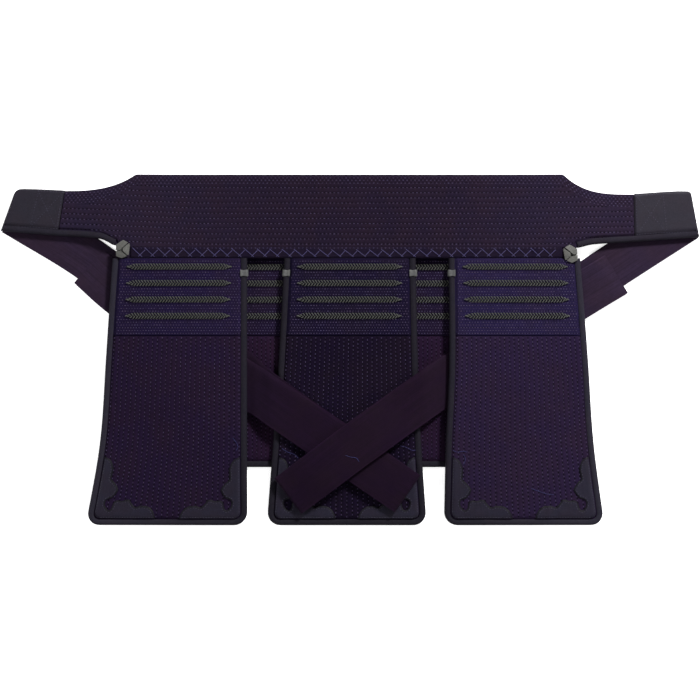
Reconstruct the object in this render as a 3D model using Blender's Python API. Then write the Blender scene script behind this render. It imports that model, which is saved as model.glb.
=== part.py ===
"""Kendo waist protector lying flat with its front face up.

Metres. +X runs to the right seen from above with the waistband at the top, +Y towards the
waistband's top edge, +Z up from the surface that the protector lies on.
"""

import math

import bpy
from mathutils import Vector, geometry
from mathutils.bvhtree import BVHTree

# General
GAP = 0.0003
SHOULDER = 0.008

# Waistband, its cloth strip along the seam, and its wings
WAIST_HEIGHT = 0.0936
WAIST_THICKNESS = 0.015
WAIST_EDGE = 0.005
EDGE_SHARE = 0.3
UNDERSIDE_RISE = 0.072
ROOT_STEP = 0.012
WING_THICKNESS = 0.0074
STRIP_WIDTH = 0.0124
STRIP_THICKNESS = 0.0012
CAP_TAPER = 0.0015

# Large flaps
FLAP_LENGTH = 0.2996
FLAP_WIDTH = 0.148
FLAP_SPACING = 0.040
FLAP_EDGE_THICKNESS = 0.007
FLAP_CROWN = 0.0005
FLAP_CORNER = 0.0155
FLAP_REACH = 0.100
SEAM_FADE = 0.090

# Small flaps behind the large ones
SMALL_LENGTH = 0.2346
SMALL_WIDTH = 0.146
SMALL_EDGE_THICKNESS = 0.0044
SMALL_CROWN = 0.0002
SMALL_CORNER = 0.0155

# Binding folded round the edges
BINDING_WIDTH = 0.0067
BINDING_WALL = 0.0010
GROOVE_WIDTH = 0.0010
PAD_SLOPE = 0.004

# Straps
STRAP_WIDTH = 0.050
STRAP_THICKNESS = 0.0024
PASS_GAP = 0.0007
STRAP_REACH = 0.022
CLIMB_MARGIN = 0.006
STRAP_INSET = 0.004
CROSSING_REACH = 0.050
STRAP_STEPS = 35
STRAP_COLUMNS = 3
SQUARE_START = 0.24
SQUARE_END = 0.04
SQUARE_TURN = 0.08

# Braided cords
CORD_LENGTH = 0.118
CORD_WIDTH = 0.0076
CORD_HEIGHT = 0.0024
CORD_FIRST = 0.0100
CORD_PITCH = 0.0183
CORD_POINT = 0.009
CORD_COUNT = 4
CORD_GAP = 0.0005

# Leather trimmings
PATCH_SIZE = 0.077
PATCH_THICKNESS = 0.0010
PATCH_GAP = 0.0004
PATCH_REACH = 0.0015
TAB_LENGTH = 0.0073
TAB_WIDTH = 0.0095
TAB_THICKNESS = 0.0010
TAB_DROP = 0.0170
ROSETTE_RADIUS = 0.0098
ROSETTE_HEIGHT = 0.0036

# Places worked out from the sizes
SEAM_Y = (FLAP_LENGTH - WAIST_HEIGHT) / 2
FLAP_PITCH = FLAP_WIDTH + FLAP_SPACING
TONGUE_INSET = BINDING_WALL + GAP
TONGUE_DROP = BINDING_WALL + 2 * GAP
GROOVE_END = BINDING_WIDTH - TONGUE_INSET + GROOVE_WIDTH
PAD_FULL = GROOVE_END + PAD_SLOPE
PATCH_RISE = PATCH_THICKNESS + PATCH_GAP
SMALL_TOP = SMALL_EDGE_THICKNESS + SMALL_CROWN
CORD_STACK = CORD_HEIGHT + CORD_GAP
SEAM_LIFT = SMALL_TOP + CORD_STACK + GAP
STRAP_STACK = 2 * STRAP_THICKNESS + PASS_GAP + GAP
WING_LIFT = STRAP_THICKNESS + 2 * GAP
CORD_END_Y = SEAM_Y - CORD_FIRST - (CORD_COUNT - 1) * CORD_PITCH - CORD_WIDTH

# Side edges of the flaps. Columns: share of the length from the seam, left edge, right edge,
# both edges as shares of the flap's width from its axis.
FLAP_EDGES = {
    "left": ((0.0, -0.498, 0.519), (0.12, -0.516, 0.519), (0.4, -0.556, 0.519), (0.7, -0.604, 0.519),
             (1.0, -0.709, 0.519)),
    "centre": ((0.0, -0.497, 0.497), (0.4, -0.541, 0.514), (0.7, -0.584, 0.540), (1.0, -0.631, 0.582)),
    "right": ((0.0, -0.498, 0.498), (0.4, -0.494, 0.563), (0.7, -0.520, 0.608), (1.0, -0.531, 0.688)),
}
SMALL_EDGES = ((0.0, -0.50, 0.50), (0.5, -0.505, 0.505), (1.0, -0.515, 0.515))
FLAP_AXES = {"left": -1.02, "centre": 0.0, "right": 0.978}
SMALL_AXES = {"left": -0.503, "right": 0.488}

# The two wings and end caps. Lengths in metres, heights as shares of the waistband's height
# above the seam, each at the places that the key names. The top edge is level up to "shoulder"
# inside the flap's outer edge; "hollow" is how steeply it falls from there.
WINGS = {
    "left": {
        "sign": -1, "length": 0.0548, "cap_length": 0.0660, "seam_tilt": 0.0073, "end_tilt": 0.0150,
        "root_low": 0.150, "bend_low": 0.228, "seam_low": 0.267, "end_low": 0.322,
        "seam_top": 0.805, "end_top": 0.828, "corner": 0.0085,
        "rosette_inset": 0.0095, "rosette_rise": 0.0096, "shoulder": 0.0245, "hollow": 3.0,
    },
    "right": {
        "sign": 1, "length": 0.0610, "cap_length": 0.0738, "seam_tilt": 0.0012, "end_tilt": 0.0090,
        "root_low": 0.122, "bend_low": 0.160, "seam_low": 0.194, "end_low": 0.252,
        "seam_top": 0.763, "end_top": 0.802, "corner": 0.0050,
        "rosette_inset": 0.0090, "rosette_rise": 0.0045, "shoulder": 0.0178, "hollow": 3.5,
    },
}

# Straps. Each starts under the end cap and ends in a fold on the centre flap: end_across is a
# share of the large flap's width from the centre flap's axis, end_up a share of its length above
# its bottom. The passes' rows are a share of the way from start to fold, and the sideways bow in
# strap widths, positive towards the waistband.
STRAPS = {
    "left": {
        "sign": -1, "end_across": 0.420, "end_up": 0.121,
        "first": ((0.0, 0.0), (0.19, 0.139), (0.57, 0.029), (0.65, -0.031), (1.0, 0.0)),
        "second": ((0.20, 0.0), (0.28, -0.094), (0.58, -0.105), (0.64, -0.076), (1.0, 0.0)),
    },
    "right": {
        "sign": 1, "end_across": -0.455, "end_up": 0.113,
        "first": ((0.0, 0.0), (0.18, 0.067), (0.23, 0.076), (0.58, 0.105), (0.81, 0.083), (1.0, 0.0)),
        "second": ((0.19, -0.116), (0.285, -0.052), (0.58, 0.083), (0.81, 0.074), (1.0, 0.0)),
    },
}

# Inner outline of a corner patch: distances from the flap's side and from its bottom edge, as
# shares of the patch's size. A lobe up the side, a round bay and a lobe along the bottom.
PATCH_OUTLINE = (
    (0.200, 0.950), (0.255, 0.840), (0.258, 0.735), (0.258, 0.670), (0.317, 0.618), (0.375, 0.540),
    (0.380, 0.500), (0.323, 0.408), (0.243, 0.371), (0.228, 0.313), (0.257, 0.255), (0.305, 0.220),
    (0.339, 0.258), (0.352, 0.332), (0.392, 0.364), (0.464, 0.356), (0.560, 0.378), (0.618, 0.318),
    (0.680, 0.264), (0.748, 0.286), (0.861, 0.275), (0.930, 0.230), (0.966, 0.178),
)
PATCH_STEPS = (0.07, 0.15, 0.3, 0.5, 0.75)

COLOURS = {
    "waistband": (0.022, 0.014, 0.030), "strip": (0.022, 0.016, 0.040), "leather": (0.033, 0.031, 0.042),
    "flap": (0.018, 0.011, 0.030), "small_flap": (0.014, 0.009, 0.022), "binding": (0.036, 0.034, 0.050),
    "strap": (0.026, 0.015, 0.027), "cord": (0.075, 0.078, 0.068), "patch": (0.018, 0.018, 0.026),
    "rosette": (0.20, 0.20, 0.18), "tab": (0.25, 0.24, 0.22),
}


def smooth(share):
    share = min(max(share, 0.0), 1.0)
    return share * share * (3 - 2 * share)


def mix(low, high, share):
    return low + (high - low) * share


def ramp(distance, reach):
    """1 on and beside a support, easing to 0 at the reach."""
    return smooth(1 - (distance - SHOULDER) / reach)


def row_value(rows, share, column):
    """Smooth value of one column of a table whose first column rises."""
    last = len(rows) - 1
    share = min(max(share, rows[0][0]), rows[last][0])
    index = next(i for i in range(last) if share <= rows[i + 1][0])

    def slope(i):
        low, high = max(i - 1, 0), min(i + 1, last)
        return (rows[high][column] - rows[low][column]) / (rows[high][0] - rows[low][0])

    span = rows[index + 1][0] - rows[index][0]
    t = (share - rows[index][0]) / span
    start, end = rows[index][column], rows[index + 1][column]
    return (
        (2 * t**3 - 3 * t**2 + 1) * start + (t**3 - 2 * t**2 + t) * span * slope(index)
        + (3 * t**2 - 2 * t**3) * end + (t**3 - t**2) * span * slope(index + 1)
    )


# Objects

def clear_scene():
    for thing in list(bpy.data.objects):
        bpy.data.objects.remove(thing)


def make_material(name, kind):
    material = bpy.data.materials.new(name)
    material.use_nodes = True
    shader = material.node_tree.nodes["Principled BSDF"]
    shader.inputs["Base Color"].default_value = (*COLOURS[kind], 1)
    leather = kind in ("leather", "patch", "rosette", "tab")
    shader.inputs["Roughness"].default_value = 0.6 if leather else 0.9
    shader.inputs["Metallic"].default_value = 0.0
    return material


def make_object(name, kind, points, faces):
    mesh = bpy.data.meshes.new(name)
    mesh.from_pydata([tuple(point) for point in points], [], faces)
    mesh.update()
    thing = bpy.data.objects.new(name, mesh)
    thing.data.materials.append(make_material(name, kind))
    bpy.context.collection.objects.link(thing)
    mesh.shade_smooth()
    mesh.set_sharp_from_angle(angle=math.radians(40))
    return thing


def slab(name, kind, top, bottom):
    """Closed body between two grids of points, rows from -Y to +Y, columns from -X to +X."""
    rows, columns = len(top), len(top[0])
    points = [point for row in top for point in row] + [point for row in bottom for point in row]
    under = rows * columns
    faces = []
    for i in range(rows - 1):
        for j in range(columns - 1):
            a, d = i * columns + j, (i + 1) * columns + j
            b, c = a + 1, d + 1
            faces += [(a, b, c), (a, c, d)]
            faces += [(under + b, under + a, under + d), (under + d, under + c, under + b)]
    rim = [j for j in range(columns)]
    rim += [i * columns + columns - 1 for i in range(1, rows)]
    rim += [(rows - 1) * columns + j for j in range(columns - 2, -1, -1)]
    rim += [i * columns for i in range(rows - 2, 0, -1)]
    for k, here in enumerate(rim):
        after = rim[(k + 1) % len(rim)]
        faces += [(here, under + here, under + after), (here, under + after, after)]
    return make_object(name, kind, points, faces)


def fill_loop(outline, inner=()):
    """Triangles that fill an outline, anticlockwise, through its own and some inner points."""
    count = len(outline)
    edges = [(i, (i + 1) % count) for i in range(count)]
    return geometry.delaunay_2d_cdt([Vector(place) for place in (*outline, *inner)], edges, [], 1, 1e-7)[2]


def end_faces(section, first, outward):
    """Triangles over the upright end of a sweep, facing outward."""
    across = Vector((-outward.y, outward.x, 0)).normalized()
    triangles = fill_loop([(point.dot(across), point.z) for point in section])
    return [tuple(first + i for i in face) for face in triangles]


def sweep(name, kind, sections, ridged=False):
    """Closed body through equal loops of points, each seen anticlockwise from the start's side.

    A ridged body is split along the higher diagonals, so that it bridges what it lies on.
    """
    count = len(sections[0])
    points = [point for section in sections for point in section]
    faces = end_faces(sections[0], 0, sections[0][0] - sections[1][0])
    for i in range(len(sections) - 1):
        for j in range(count):
            after = (j + 1) % count
            a, b = i * count + j, (i + 1) * count + j
            c, d = (i + 1) * count + after, i * count + after
            if ridged and points[a].z + points[c].z < points[b].z + points[d].z:
                a, b, c, d = b, c, d, a
            faces += [(a, b, c), (a, c, d)]
    faces += end_faces(sections[-1], (len(sections) - 1) * count, sections[-1][0] - sections[-2][0])
    return make_object(name, kind, points, faces)


# Flaps: plan

def make_flap(name, axis, width, length, edges, edge_thickness, crown, corner, lift):
    return {
        "name": name, "axis": axis, "width": width, "length": length, "edges": edges,
        "edge": edge_thickness / 2, "crown": crown, "corner": corner - TONGUE_INSET, "lift": lift,
        "bottom": SEAM_Y - length + TONGUE_INSET,
    }


def side_x(flap, y, column):
    """Side edge of the padding, inside the binding that makes the flap's own edge."""
    share = (SEAM_Y - y) / flap["length"]
    inset = TONGUE_INSET if column == 1 else -TONGUE_INSET
    return flap["axis"] + flap["width"] * row_value(flap["edges"], share, column) + inset


def flap_plan(flap, side, inset, up):
    """Point inset from a side edge and up from the bottom, drawn in to the round corner."""
    corner = flap["corner"]
    if inset < corner and up < corner:
        across, along = corner - inset, corner - up
        scale = max(across, along) / math.hypot(across, along)
        inset, up = corner - across * scale, corner - along * scale
    y = flap["bottom"] + up
    return side_x(flap, y, side) + (inset if side == 1 else -inset), y


def flap_grid(flap, middle_columns, middle_rows):
    """Rows of (x, y, distance from the bound edge) from the bottom to the seam."""
    steps = (0.0, GROOVE_END, PAD_FULL, flap["corner"])
    top = SEAM_Y - GAP - flap["bottom"]
    ups = list(steps) + [
        mix(flap["corner"], top, (i + 1) / middle_rows) for i in range(middle_rows)
    ]
    grid = []
    for up in ups:
        row = []
        for inset in steps:
            row.append((*flap_plan(flap, 1, inset, up), min(inset, up)))
        for j in range(1, middle_columns):
            left_x, left_y = flap_plan(flap, 1, flap["corner"], up)
            right_x, _ = flap_plan(flap, 2, flap["corner"], up)
            row.append((mix(left_x, right_x, j / middle_columns), left_y, up))
        for inset in reversed(steps):
            row.append((*flap_plan(flap, 2, inset, up), min(inset, up)))
        grid.append(row)
    return grid


def tongue_half(flap):
    return flap["edge"] - TONGUE_DROP


def pad_top(flap, x, y, inset):
    base = flap["lift"](x, y) + flap["edge"]
    low, high = base + tongue_half(flap), base + flap["edge"] + flap["crown"]
    return mix(low, high, min(max((inset - GROOVE_END) / PAD_SLOPE, 0), 1))


def pad_bottom(flap, x, y, inset):
    base = flap["lift"](x, y) + flap["edge"]
    return base - (tongue_half(flap) if inset <= GROOVE_END else flap["edge"])


def add_flap(flap, kind, middle_columns, middle_rows):
    grid = flap_grid(flap, middle_columns, middle_rows)
    top = [[Vector((x, y, pad_top(flap, x, y, inset))) for x, y, inset in row] for row in grid]
    bottom = [[Vector((x, y, pad_bottom(flap, x, y, inset))) for x, y, inset in row] for row in grid]
    return slab(flap["name"], kind, top, bottom), grid


# Binding

def binding_profile(half):
    """Folded strip round an edge: (outward, up) from the edge's middle, anticlockwise."""
    lip = GAP + BINDING_WALL - BINDING_WIDTH
    inner = half - BINDING_WALL
    outside = GAP + BINDING_WALL
    return (
        (lip, -half), (outside, -half), (outside, half / 2), (outside - half / 2, half),
        (lip, half), (lip, inner), (GAP, inner), (GAP, -inner), (lip, -inner),
    )


def add_binding(name, path, half, lift):
    """Folded strip along a path of (x, y) with the bound edge on the path's left."""
    profile = binding_profile(half)
    sections = []
    for index, (x, y) in enumerate(path):
        before, after = path[max(index - 1, 0)], path[min(index + 1, len(path) - 1)]
        tangent = Vector((after[0] - before[0], after[1] - before[1])).normalized()
        normal = Vector((tangent.y, -tangent.x))
        section = []
        for out, up in profile:
            px, py = x + normal.x * out, y + normal.y * out
            section.append(Vector((px, py, lift(px, py) + half + up)))
        sections.append(section)
    sweep(name, "binding", sections)


def flap_path(grid):
    left = [row[0][:2] for row in reversed(grid)]
    bottom = [place[:2] for place in grid[0][1:-1]]
    right = [row[-1][:2] for row in grid]
    return left + bottom + right


# Heights of what lies on what

def box_distance(flap, x, y):
    """Plan distance from a flap, 0 on it."""
    inside_y = max(y, flap["bottom"])
    across = max(side_x(flap, inside_y, 1) - x, x - side_x(flap, inside_y, 2), 0.0)
    return math.hypot(across, max(flap["bottom"] - y, 0.0))


def small_distance(x, y):
    return min(box_distance(flap, x, y) for flap in SMALL_FLAPS.values())


def small_support(x, y, reach, straps=0.0):
    """Height of the small flaps under a piece, with the higher of their cords and the straps."""
    near = ramp(small_distance(x, y), reach)
    cords = CORD_STACK * smooth(1 - (CORD_END_Y - y) / reach) * near
    return (SMALL_TOP + GAP) * near + (cords**4 + straps**4) ** 0.25


def seam_lift(x, y, support):
    """Held level with the seam at the top, lying on its support further down."""
    return support + max(SEAM_LIFT - support, 0.0) * smooth(1 - (SEAM_Y - y) / SEAM_FADE)


def centre_lift(x, y):
    return seam_lift(x, y, small_support(x, y, FLAP_REACH))


def side_lift(side):
    def lift(x, y):
        near_x = x - WINGS[side]["sign"] * CLIMB_MARGIN
        climb = strap_ground(near_x, y) - (SMALL_TOP + GAP) * ramp(small_distance(near_x, y), STRAP_REACH)
        straps = (STRAP_STACK + GAP + climb) * ramp(band_distance(side, x, y), FLAP_REACH)
        return seam_lift(x, y, small_support(x, y, FLAP_REACH, straps))
    return lift


def strap_ground(x, y):
    """Height that the lowest strap lies at: the surface, a small flap or the centre flap."""
    centre = LARGE_FLAPS["centre"]
    low = (SMALL_TOP + GAP) * ramp(small_distance(x, y), STRAP_REACH)
    patches = PATCH_RISE * smooth((centre["bottom"] + PATCH_SIZE + STRAP_REACH - y) / STRAP_REACH)
    high = centre_lift(x, y) + 2 * centre["edge"] + centre["crown"] + 2 * GAP + patches
    return mix(low, high, ramp(box_distance(centre, x, y), STRAP_REACH))


# Straps: routes

def strap_ends(side):
    wing, strap = WINGS[side], STRAPS[side]
    outer = cap_corner(side)
    centre = LARGE_FLAPS["centre"]
    end = Vector((
        centre["axis"] + strap["end_across"] * FLAP_WIDTH,
        centre["bottom"] + strap["end_up"] * FLAP_LENGTH,
    ))
    way = (end - outer).normalized()
    up = Vector((-way.y, way.x)) * -wing["sign"]
    start = outer + way * STRAP_INSET + up * (STRAP_WIDTH / 2)
    return start, end


def strap_place(side, rows, share):
    """Middle of a pass, its way across and its way along, at a share of the way to the fold.

    The sections are square to the strap at its ends, and between them they stand along the flaps'
    side edges, which the strap climbs over.
    """
    start, end = strap_ends(side)
    way = end - start
    up = Vector((-way.y, way.x)).normalized() * -STRAPS[side]["sign"]

    def centre(t):
        return start + way * t + up * (row_value(rows, t, 1) * STRAP_WIDTH)

    step = 0.01
    tangent = (centre(min(share + step, 1)) - centre(max(share - step, rows[0][0]))).normalized()
    square = Vector((-tangent.y, tangent.x)) * -STRAPS[side]["sign"]
    upright = smooth((share - SQUARE_START) / SQUARE_TURN) * smooth((1 - SQUARE_END - share) / SQUARE_TURN)
    middle = centre(share)
    middle += tangent * ((start.x + way.x * share - middle.x) / tangent.x * upright)
    across = square.lerp(Vector((0, 1)), upright)
    return middle, across / across.dot(square), tangent


def band_distance(side, x, y):
    """Plan distance from the nearer of a strap's two passes, 0 on them."""
    place = Vector((x, y))
    best = min(
        (place - closest_on_segment(place, start, end)).length
        for points in BANDS[side] for start, end in zip(points, points[1:])
    )
    return max(best - STRAP_WIDTH / 2, 0.0)


def closest_on_segment(place, start, end):
    way = end - start
    share = min(max((place - start).dot(way) / way.length_squared, 0.0), 1.0)
    return start + way * share


def strap_height(side, x, y):
    ground = strap_ground(x, y)
    if side == "right":
        ground += (STRAP_STACK + GAP) * ramp(band_distance("left", x, y), CROSSING_REACH)
    return ground


def strap_section(side, rows, share, above):
    """Corner loop of a level pass: along the lower face, then back along the upper face."""
    centre, across, _ = strap_place(side, rows, share)
    lower, upper = [], []
    for k in range(STRAP_COLUMNS + 1):
        place = centre + across * (STRAP_WIDTH * (k / STRAP_COLUMNS - 0.5))
        base = strap_height(side, place.x, place.y) + above
        lower.append(Vector((place.x, place.y, base)))
        upper.append(Vector((place.x, place.y, base + STRAP_THICKNESS)))
    return lower, upper


def fold_section(side, angle):
    """Corner loop in the fold, turned about the fold's axis. -90 degrees is the first pass."""
    rows = STRAPS[side]["first"]
    centre, across, tangent = strap_place(side, rows, 1.0)
    radius = (STRAP_THICKNESS + PASS_GAP) / 2
    lower, upper = [], []
    for k in range(STRAP_COLUMNS + 1):
        place = centre + across * (STRAP_WIDTH * (k / STRAP_COLUMNS - 0.5))
        middle = strap_height(side, place.x, place.y) + STRAP_THICKNESS / 2 + radius
        for reach, faces in ((radius + STRAP_THICKNESS / 2, lower), (radius - STRAP_THICKNESS / 2, upper)):
            out = tangent * (reach * math.cos(angle))
            faces.append(Vector((place.x + out.x, place.y + out.y, middle + reach * math.sin(angle))))
    return lower, upper


def add_strap(side):
    """One band: out from under the cap, folded on the centre flap and back over itself."""
    strap = STRAPS[side]
    step = 1 / STRAP_STEPS
    pairs = [strap_section(side, strap["first"], i * step, 0.0) for i in range(STRAP_STEPS + 1)]
    pairs += [fold_section(side, math.radians(angle)) for angle in (-60, -20, 20, 60)]
    back = STRAP_THICKNESS + PASS_GAP
    end_share = strap["second"][0][0]
    shares = [i * step for i in range(STRAP_STEPS, 0, -1) if i * step > end_share + 0.3 * step]
    for share in shares + [end_share]:
        lower, upper = strap_section(side, strap["second"], share, back)
        pairs.append((upper, lower))
    loops = [lower + list(reversed(upper)) for lower, upper in pairs]
    if strap["sign"] < 0:
        loops = [list(reversed(loop)) for loop in loops]
    sweep("strap_" + side, "strap", loops, ridged=True)


# Waistband, wings and end caps

def seam_half(side):
    """Distance of the outer flap's outer edge from the middle, at the seam."""
    flap = LARGE_FLAPS[side]
    return abs(side_x(flap, SEAM_Y, 1 if side == "left" else 2))


def height_y(share):
    return SEAM_Y + WAIST_HEIGHT * share


def cap_corner(side):
    """Lower outer corner of the end cap, in plan."""
    wing = WINGS[side]
    reach = seam_half(side) + wing["length"] + wing["seam_tilt"] + wing["cap_length"]
    return Vector((wing["sign"] * reach, height_y(wing["end_low"])))


def wing_share(side, x):
    """0 at the flap's outer edge, 1 at the end cap's seam."""
    return (abs(x) - seam_half(side)) / WINGS[side]["length"]


def band_bottom(x, y):
    """Underside of the waistband and wings."""
    side = "left" if x < 0 else "right"
    share = wing_share(side, x)
    if share > 0:
        return mix(SEAM_LIFT, WING_LIFT, smooth(share))
    return SEAM_LIFT * smooth(1 - (seam_half(side) - abs(x)) / UNDERSIDE_RISE)


def wing_top_y(side, x):
    """Top edge: level over the flaps, then a hollow curve down to the wing."""
    wing = WINGS[side]
    start = seam_half(side) - wing["shoulder"]
    end = seam_half(side) + wing["length"]
    share = min(max((abs(x) - start) / (end - start), 0.0), 1.0)
    return height_y(mix(wing["seam_top"], 1.0, (1 - share) ** wing["hollow"]))


def wing_low_y(side, share):
    """Lower edge of the padding, inside the binding that makes the wing's own edge."""
    wing = WINGS[side]
    rows = ((0.0, wing["root_low"]), (0.25, wing["bend_low"]), (1.0, wing["seam_low"]))
    return height_y(row_value(rows, share, 1)) + TONGUE_INSET


def rib(low, high, bottom, top, bound, stretch=1.0):
    """Top and bottom points across the band, from its lower to its upper edge."""
    half = FLAP_EDGE_THICKNESS / 2
    tongue = half - TONGUE_DROP
    span = (high - low).length
    if bound:
        rows = (
            (0.0, bottom + half - tongue, bottom + half + tongue),
            (GROOVE_END * stretch, bottom + half - tongue, bottom + half + tongue),
            (PAD_FULL * stretch, bottom, top),
        )
    else:
        recess = STRIP_THICKNESS + GAP
        rows = ((0.0, bottom, top - recess), (STRIP_WIDTH + GAP, bottom, top - recess),
                (STRIP_WIDTH + 2 * GAP + recess, bottom, top))
    start = rows[-1][0]
    rows += tuple((mix(start, span - WAIST_EDGE, share), bottom, top) for share in (0.35, 0.7, 1.0))
    rows += ((span, mix(bottom, top, EDGE_SHARE), mix(top, bottom, EDGE_SHARE)),)
    way = (high - low).normalized()
    tops = [Vector((*(low + way * up), above)) for up, _, above in rows]
    bottoms = [Vector((*(low + way * up), below)) for up, below, _ in rows]
    return tops, bottoms


def wing_rib(side, share):
    wing = WINGS[side]
    x = seam_half(side) + wing["length"] * share
    tilt = wing["seam_tilt"] * max(share, 0.0)
    low = Vector((wing["sign"] * (x + tilt), wing_low_y(side, share)))
    high = Vector((wing["sign"] * x, wing_top_y(side, x)))
    bottom = band_bottom(wing["sign"] * x, 0.0)
    top = mix(WAIST_THICKNESS, WING_LIFT + WING_THICKNESS, smooth(share))
    rise = (wing_low_y(side, share + 0.05) - wing_low_y(side, share - 0.05)) / (0.1 * wing["length"])
    return rib(low, high, bottom, top, True, math.hypot(1.0, rise))


def centre_rib(x):
    side = "left" if x < 0 else "right"
    low, high = Vector((x, SEAM_Y)), Vector((x, wing_top_y(side, x)))
    return rib(low, high, band_bottom(x, 0.0), WAIST_THICKNESS, False)


def add_waistband():
    ribs = [wing_rib("left", share) for share in (1.0, 0.75, 0.5, 0.25, 0.0)]
    left = -(seam_half("left") - ROOT_STEP)
    right = seam_half("right") - ROOT_STEP
    ribs += [centre_rib(left)]
    for side in ("left", "right"):
        sign = WINGS[side]["sign"]
        shoulder = WINGS[side]["shoulder"]
        start = seam_half(side) - shoulder
        near = [sign * start * share for share in (1.0, 0.8, 0.6, 0.4, 0.2)]
        extra = [sign * (start + shoulder * 0.3)]
        places = extra + near
        if side == "left":
            ribs += [centre_rib(x) for x in places] + [centre_rib(0.0)]
        else:
            ribs += [centre_rib(x) for x in reversed(places)]
    ribs += [centre_rib(right)]
    ribs += [wing_rib("right", share) for share in (0.0, 0.25, 0.5, 0.75, 1.0)]
    top = [[pair[0][i] for pair in ribs] for i in range(len(ribs[0][0]))]
    bottom = [[pair[1][i] for pair in ribs] for i in range(len(ribs[0][0]))]
    slab("waistband", "waistband", top, bottom)


def cap_rib(side, share):
    """Rib of the end cap: 0 at its seam, 1 at its outer end."""
    wing = WINGS[side]
    x = seam_half(side) + wing["length"] + GAP
    x += (wing["cap_length"] - GAP - TONGUE_INSET) * share
    tilt = mix(wing["seam_tilt"], wing["end_tilt"], share)
    low_y = height_y(mix(wing["seam_low"], wing["end_low"], share)) + TONGUE_INSET
    low = Vector((wing["sign"] * (x + wing["seam_tilt"]), low_y))
    inner_x = x + wing["seam_tilt"] - tilt
    top_y = height_y(mix(wing["seam_top"], wing["end_top"], min(share / 0.8, 1.0)))
    from_end = (1 - share) * wing["cap_length"]
    if from_end < wing["corner"]:
        turn = wing["corner"] - from_end
        top_y -= wing["corner"] - math.sqrt(wing["corner"] ** 2 - turn ** 2)
    high = Vector((wing["sign"] * inner_x, top_y))
    top = WING_LIFT + WING_THICKNESS - CAP_TAPER * share
    tops, bottoms = rib(low, high, WING_LIFT, top, True)
    if share == 1.0:
        middle = WING_LIFT + FLAP_EDGE_THICKNESS / 2
        limit = FLAP_EDGE_THICKNESS / 2 - TONGUE_DROP
        for points in (tops, bottoms):
            for point in points:
                point.z = min(max(point.z, middle - limit), middle + limit)
    return tops, bottoms


def add_cap(side):
    corner = WINGS[side]["corner"] / WINGS[side]["cap_length"]
    shares = (0.0, 0.3, 0.6, 1 - corner, 1 - corner * 0.6, 1 - corner * 0.25, 1.0)
    if side == "left":
        shares = tuple(reversed(shares))
    ribs = [cap_rib(side, share) for share in shares]
    top = [[pair[0][i] for pair in ribs] for i in range(len(ribs[0][0]))]
    bottom = [[pair[1][i] for pair in ribs] for i in range(len(ribs[0][0]))]
    slab("end_cap_" + side, "leather", top, bottom)


def add_wing_binding(side):
    cap = [cap_rib(side, share)[0][0] for share in (1.0, 0.6, 0.3, 0.0)]
    wing = [wing_rib(side, share)[0][0] for share in (1.0, 0.75, 0.5, 0.25, 0.04)]
    path = [(point.x, point.y) for point in cap[:-1] + wing]
    if side == "right":
        path.reverse()
    add_binding("wing_binding_" + side, path, FLAP_EDGE_THICKNESS / 2, band_bottom)


def rosette_place(side):
    wing = WINGS[side]
    return Vector((wing["sign"] * (seam_half(side) - wing["rosette_inset"]), SEAM_Y + wing["rosette_rise"]))


def add_seam_strip():
    """Strip of cloth sewn over the waistband's lower edge, from rosette to rosette."""
    ends = [rosette_place(side).x for side in ("left", "right")]
    start, end = ends[0] + ROSETTE_RADIUS + GAP, ends[1] - ROSETTE_RADIUS - GAP
    base = WAIST_THICKNESS - STRIP_THICKNESS
    steps = 8
    rows = []
    for y in (SEAM_Y, SEAM_Y + STRIP_WIDTH):
        rows.append([Vector((mix(start, end, i / steps), y, 0.0)) for i in range(steps + 1)])
    bottom = [[point + Vector((0, 0, base)) for point in row] for row in rows]
    top = [[point + Vector((0, 0, base + STRIP_THICKNESS)) for point in row] for row in rows]
    slab("seam_strip", "strip", top, bottom)


# Trimmings

def add_rosette(side):
    """Flat knot of folded leather: a six-sided button with a three-cornered hole in its middle."""
    centre = rosette_place(side)
    base = SEAM_LIFT + FLAP_EDGE_THICKNESS + FLAP_CROWN + GAP
    levels = (
        (1.0, 0.0), (1.0, 0.55), (0.86, 1.0), (0.22, 0.85), (0.14, 0.35),
    )
    sides = 6
    points, faces = [], []
    for radius, height in levels:
        for k in range(sides):
            inner = radius < 0.3
            angle = math.radians(60 * (k - k % 2) if inner else 60 * k)
            spread = 0.3 if inner and k % 2 else 0.0
            reach = ROSETTE_RADIUS * radius
            points.append(Vector((
                centre.x + reach * math.cos(angle + spread), centre.y + reach * math.sin(angle + spread),
                base + ROSETTE_HEIGHT * height,
            )))
    faces.append(tuple(reversed(range(sides))))
    for i in range(len(levels) - 1):
        for k in range(sides):
            after = (k + 1) % sides
            faces.append((i * sides + k, i * sides + after, (i + 1) * sides + after, (i + 1) * sides + k))
    last = (len(levels) - 1) * sides
    faces.append(tuple(last + k for k in range(sides)))
    make_object("rosette_" + side, "rosette", points, faces)


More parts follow.
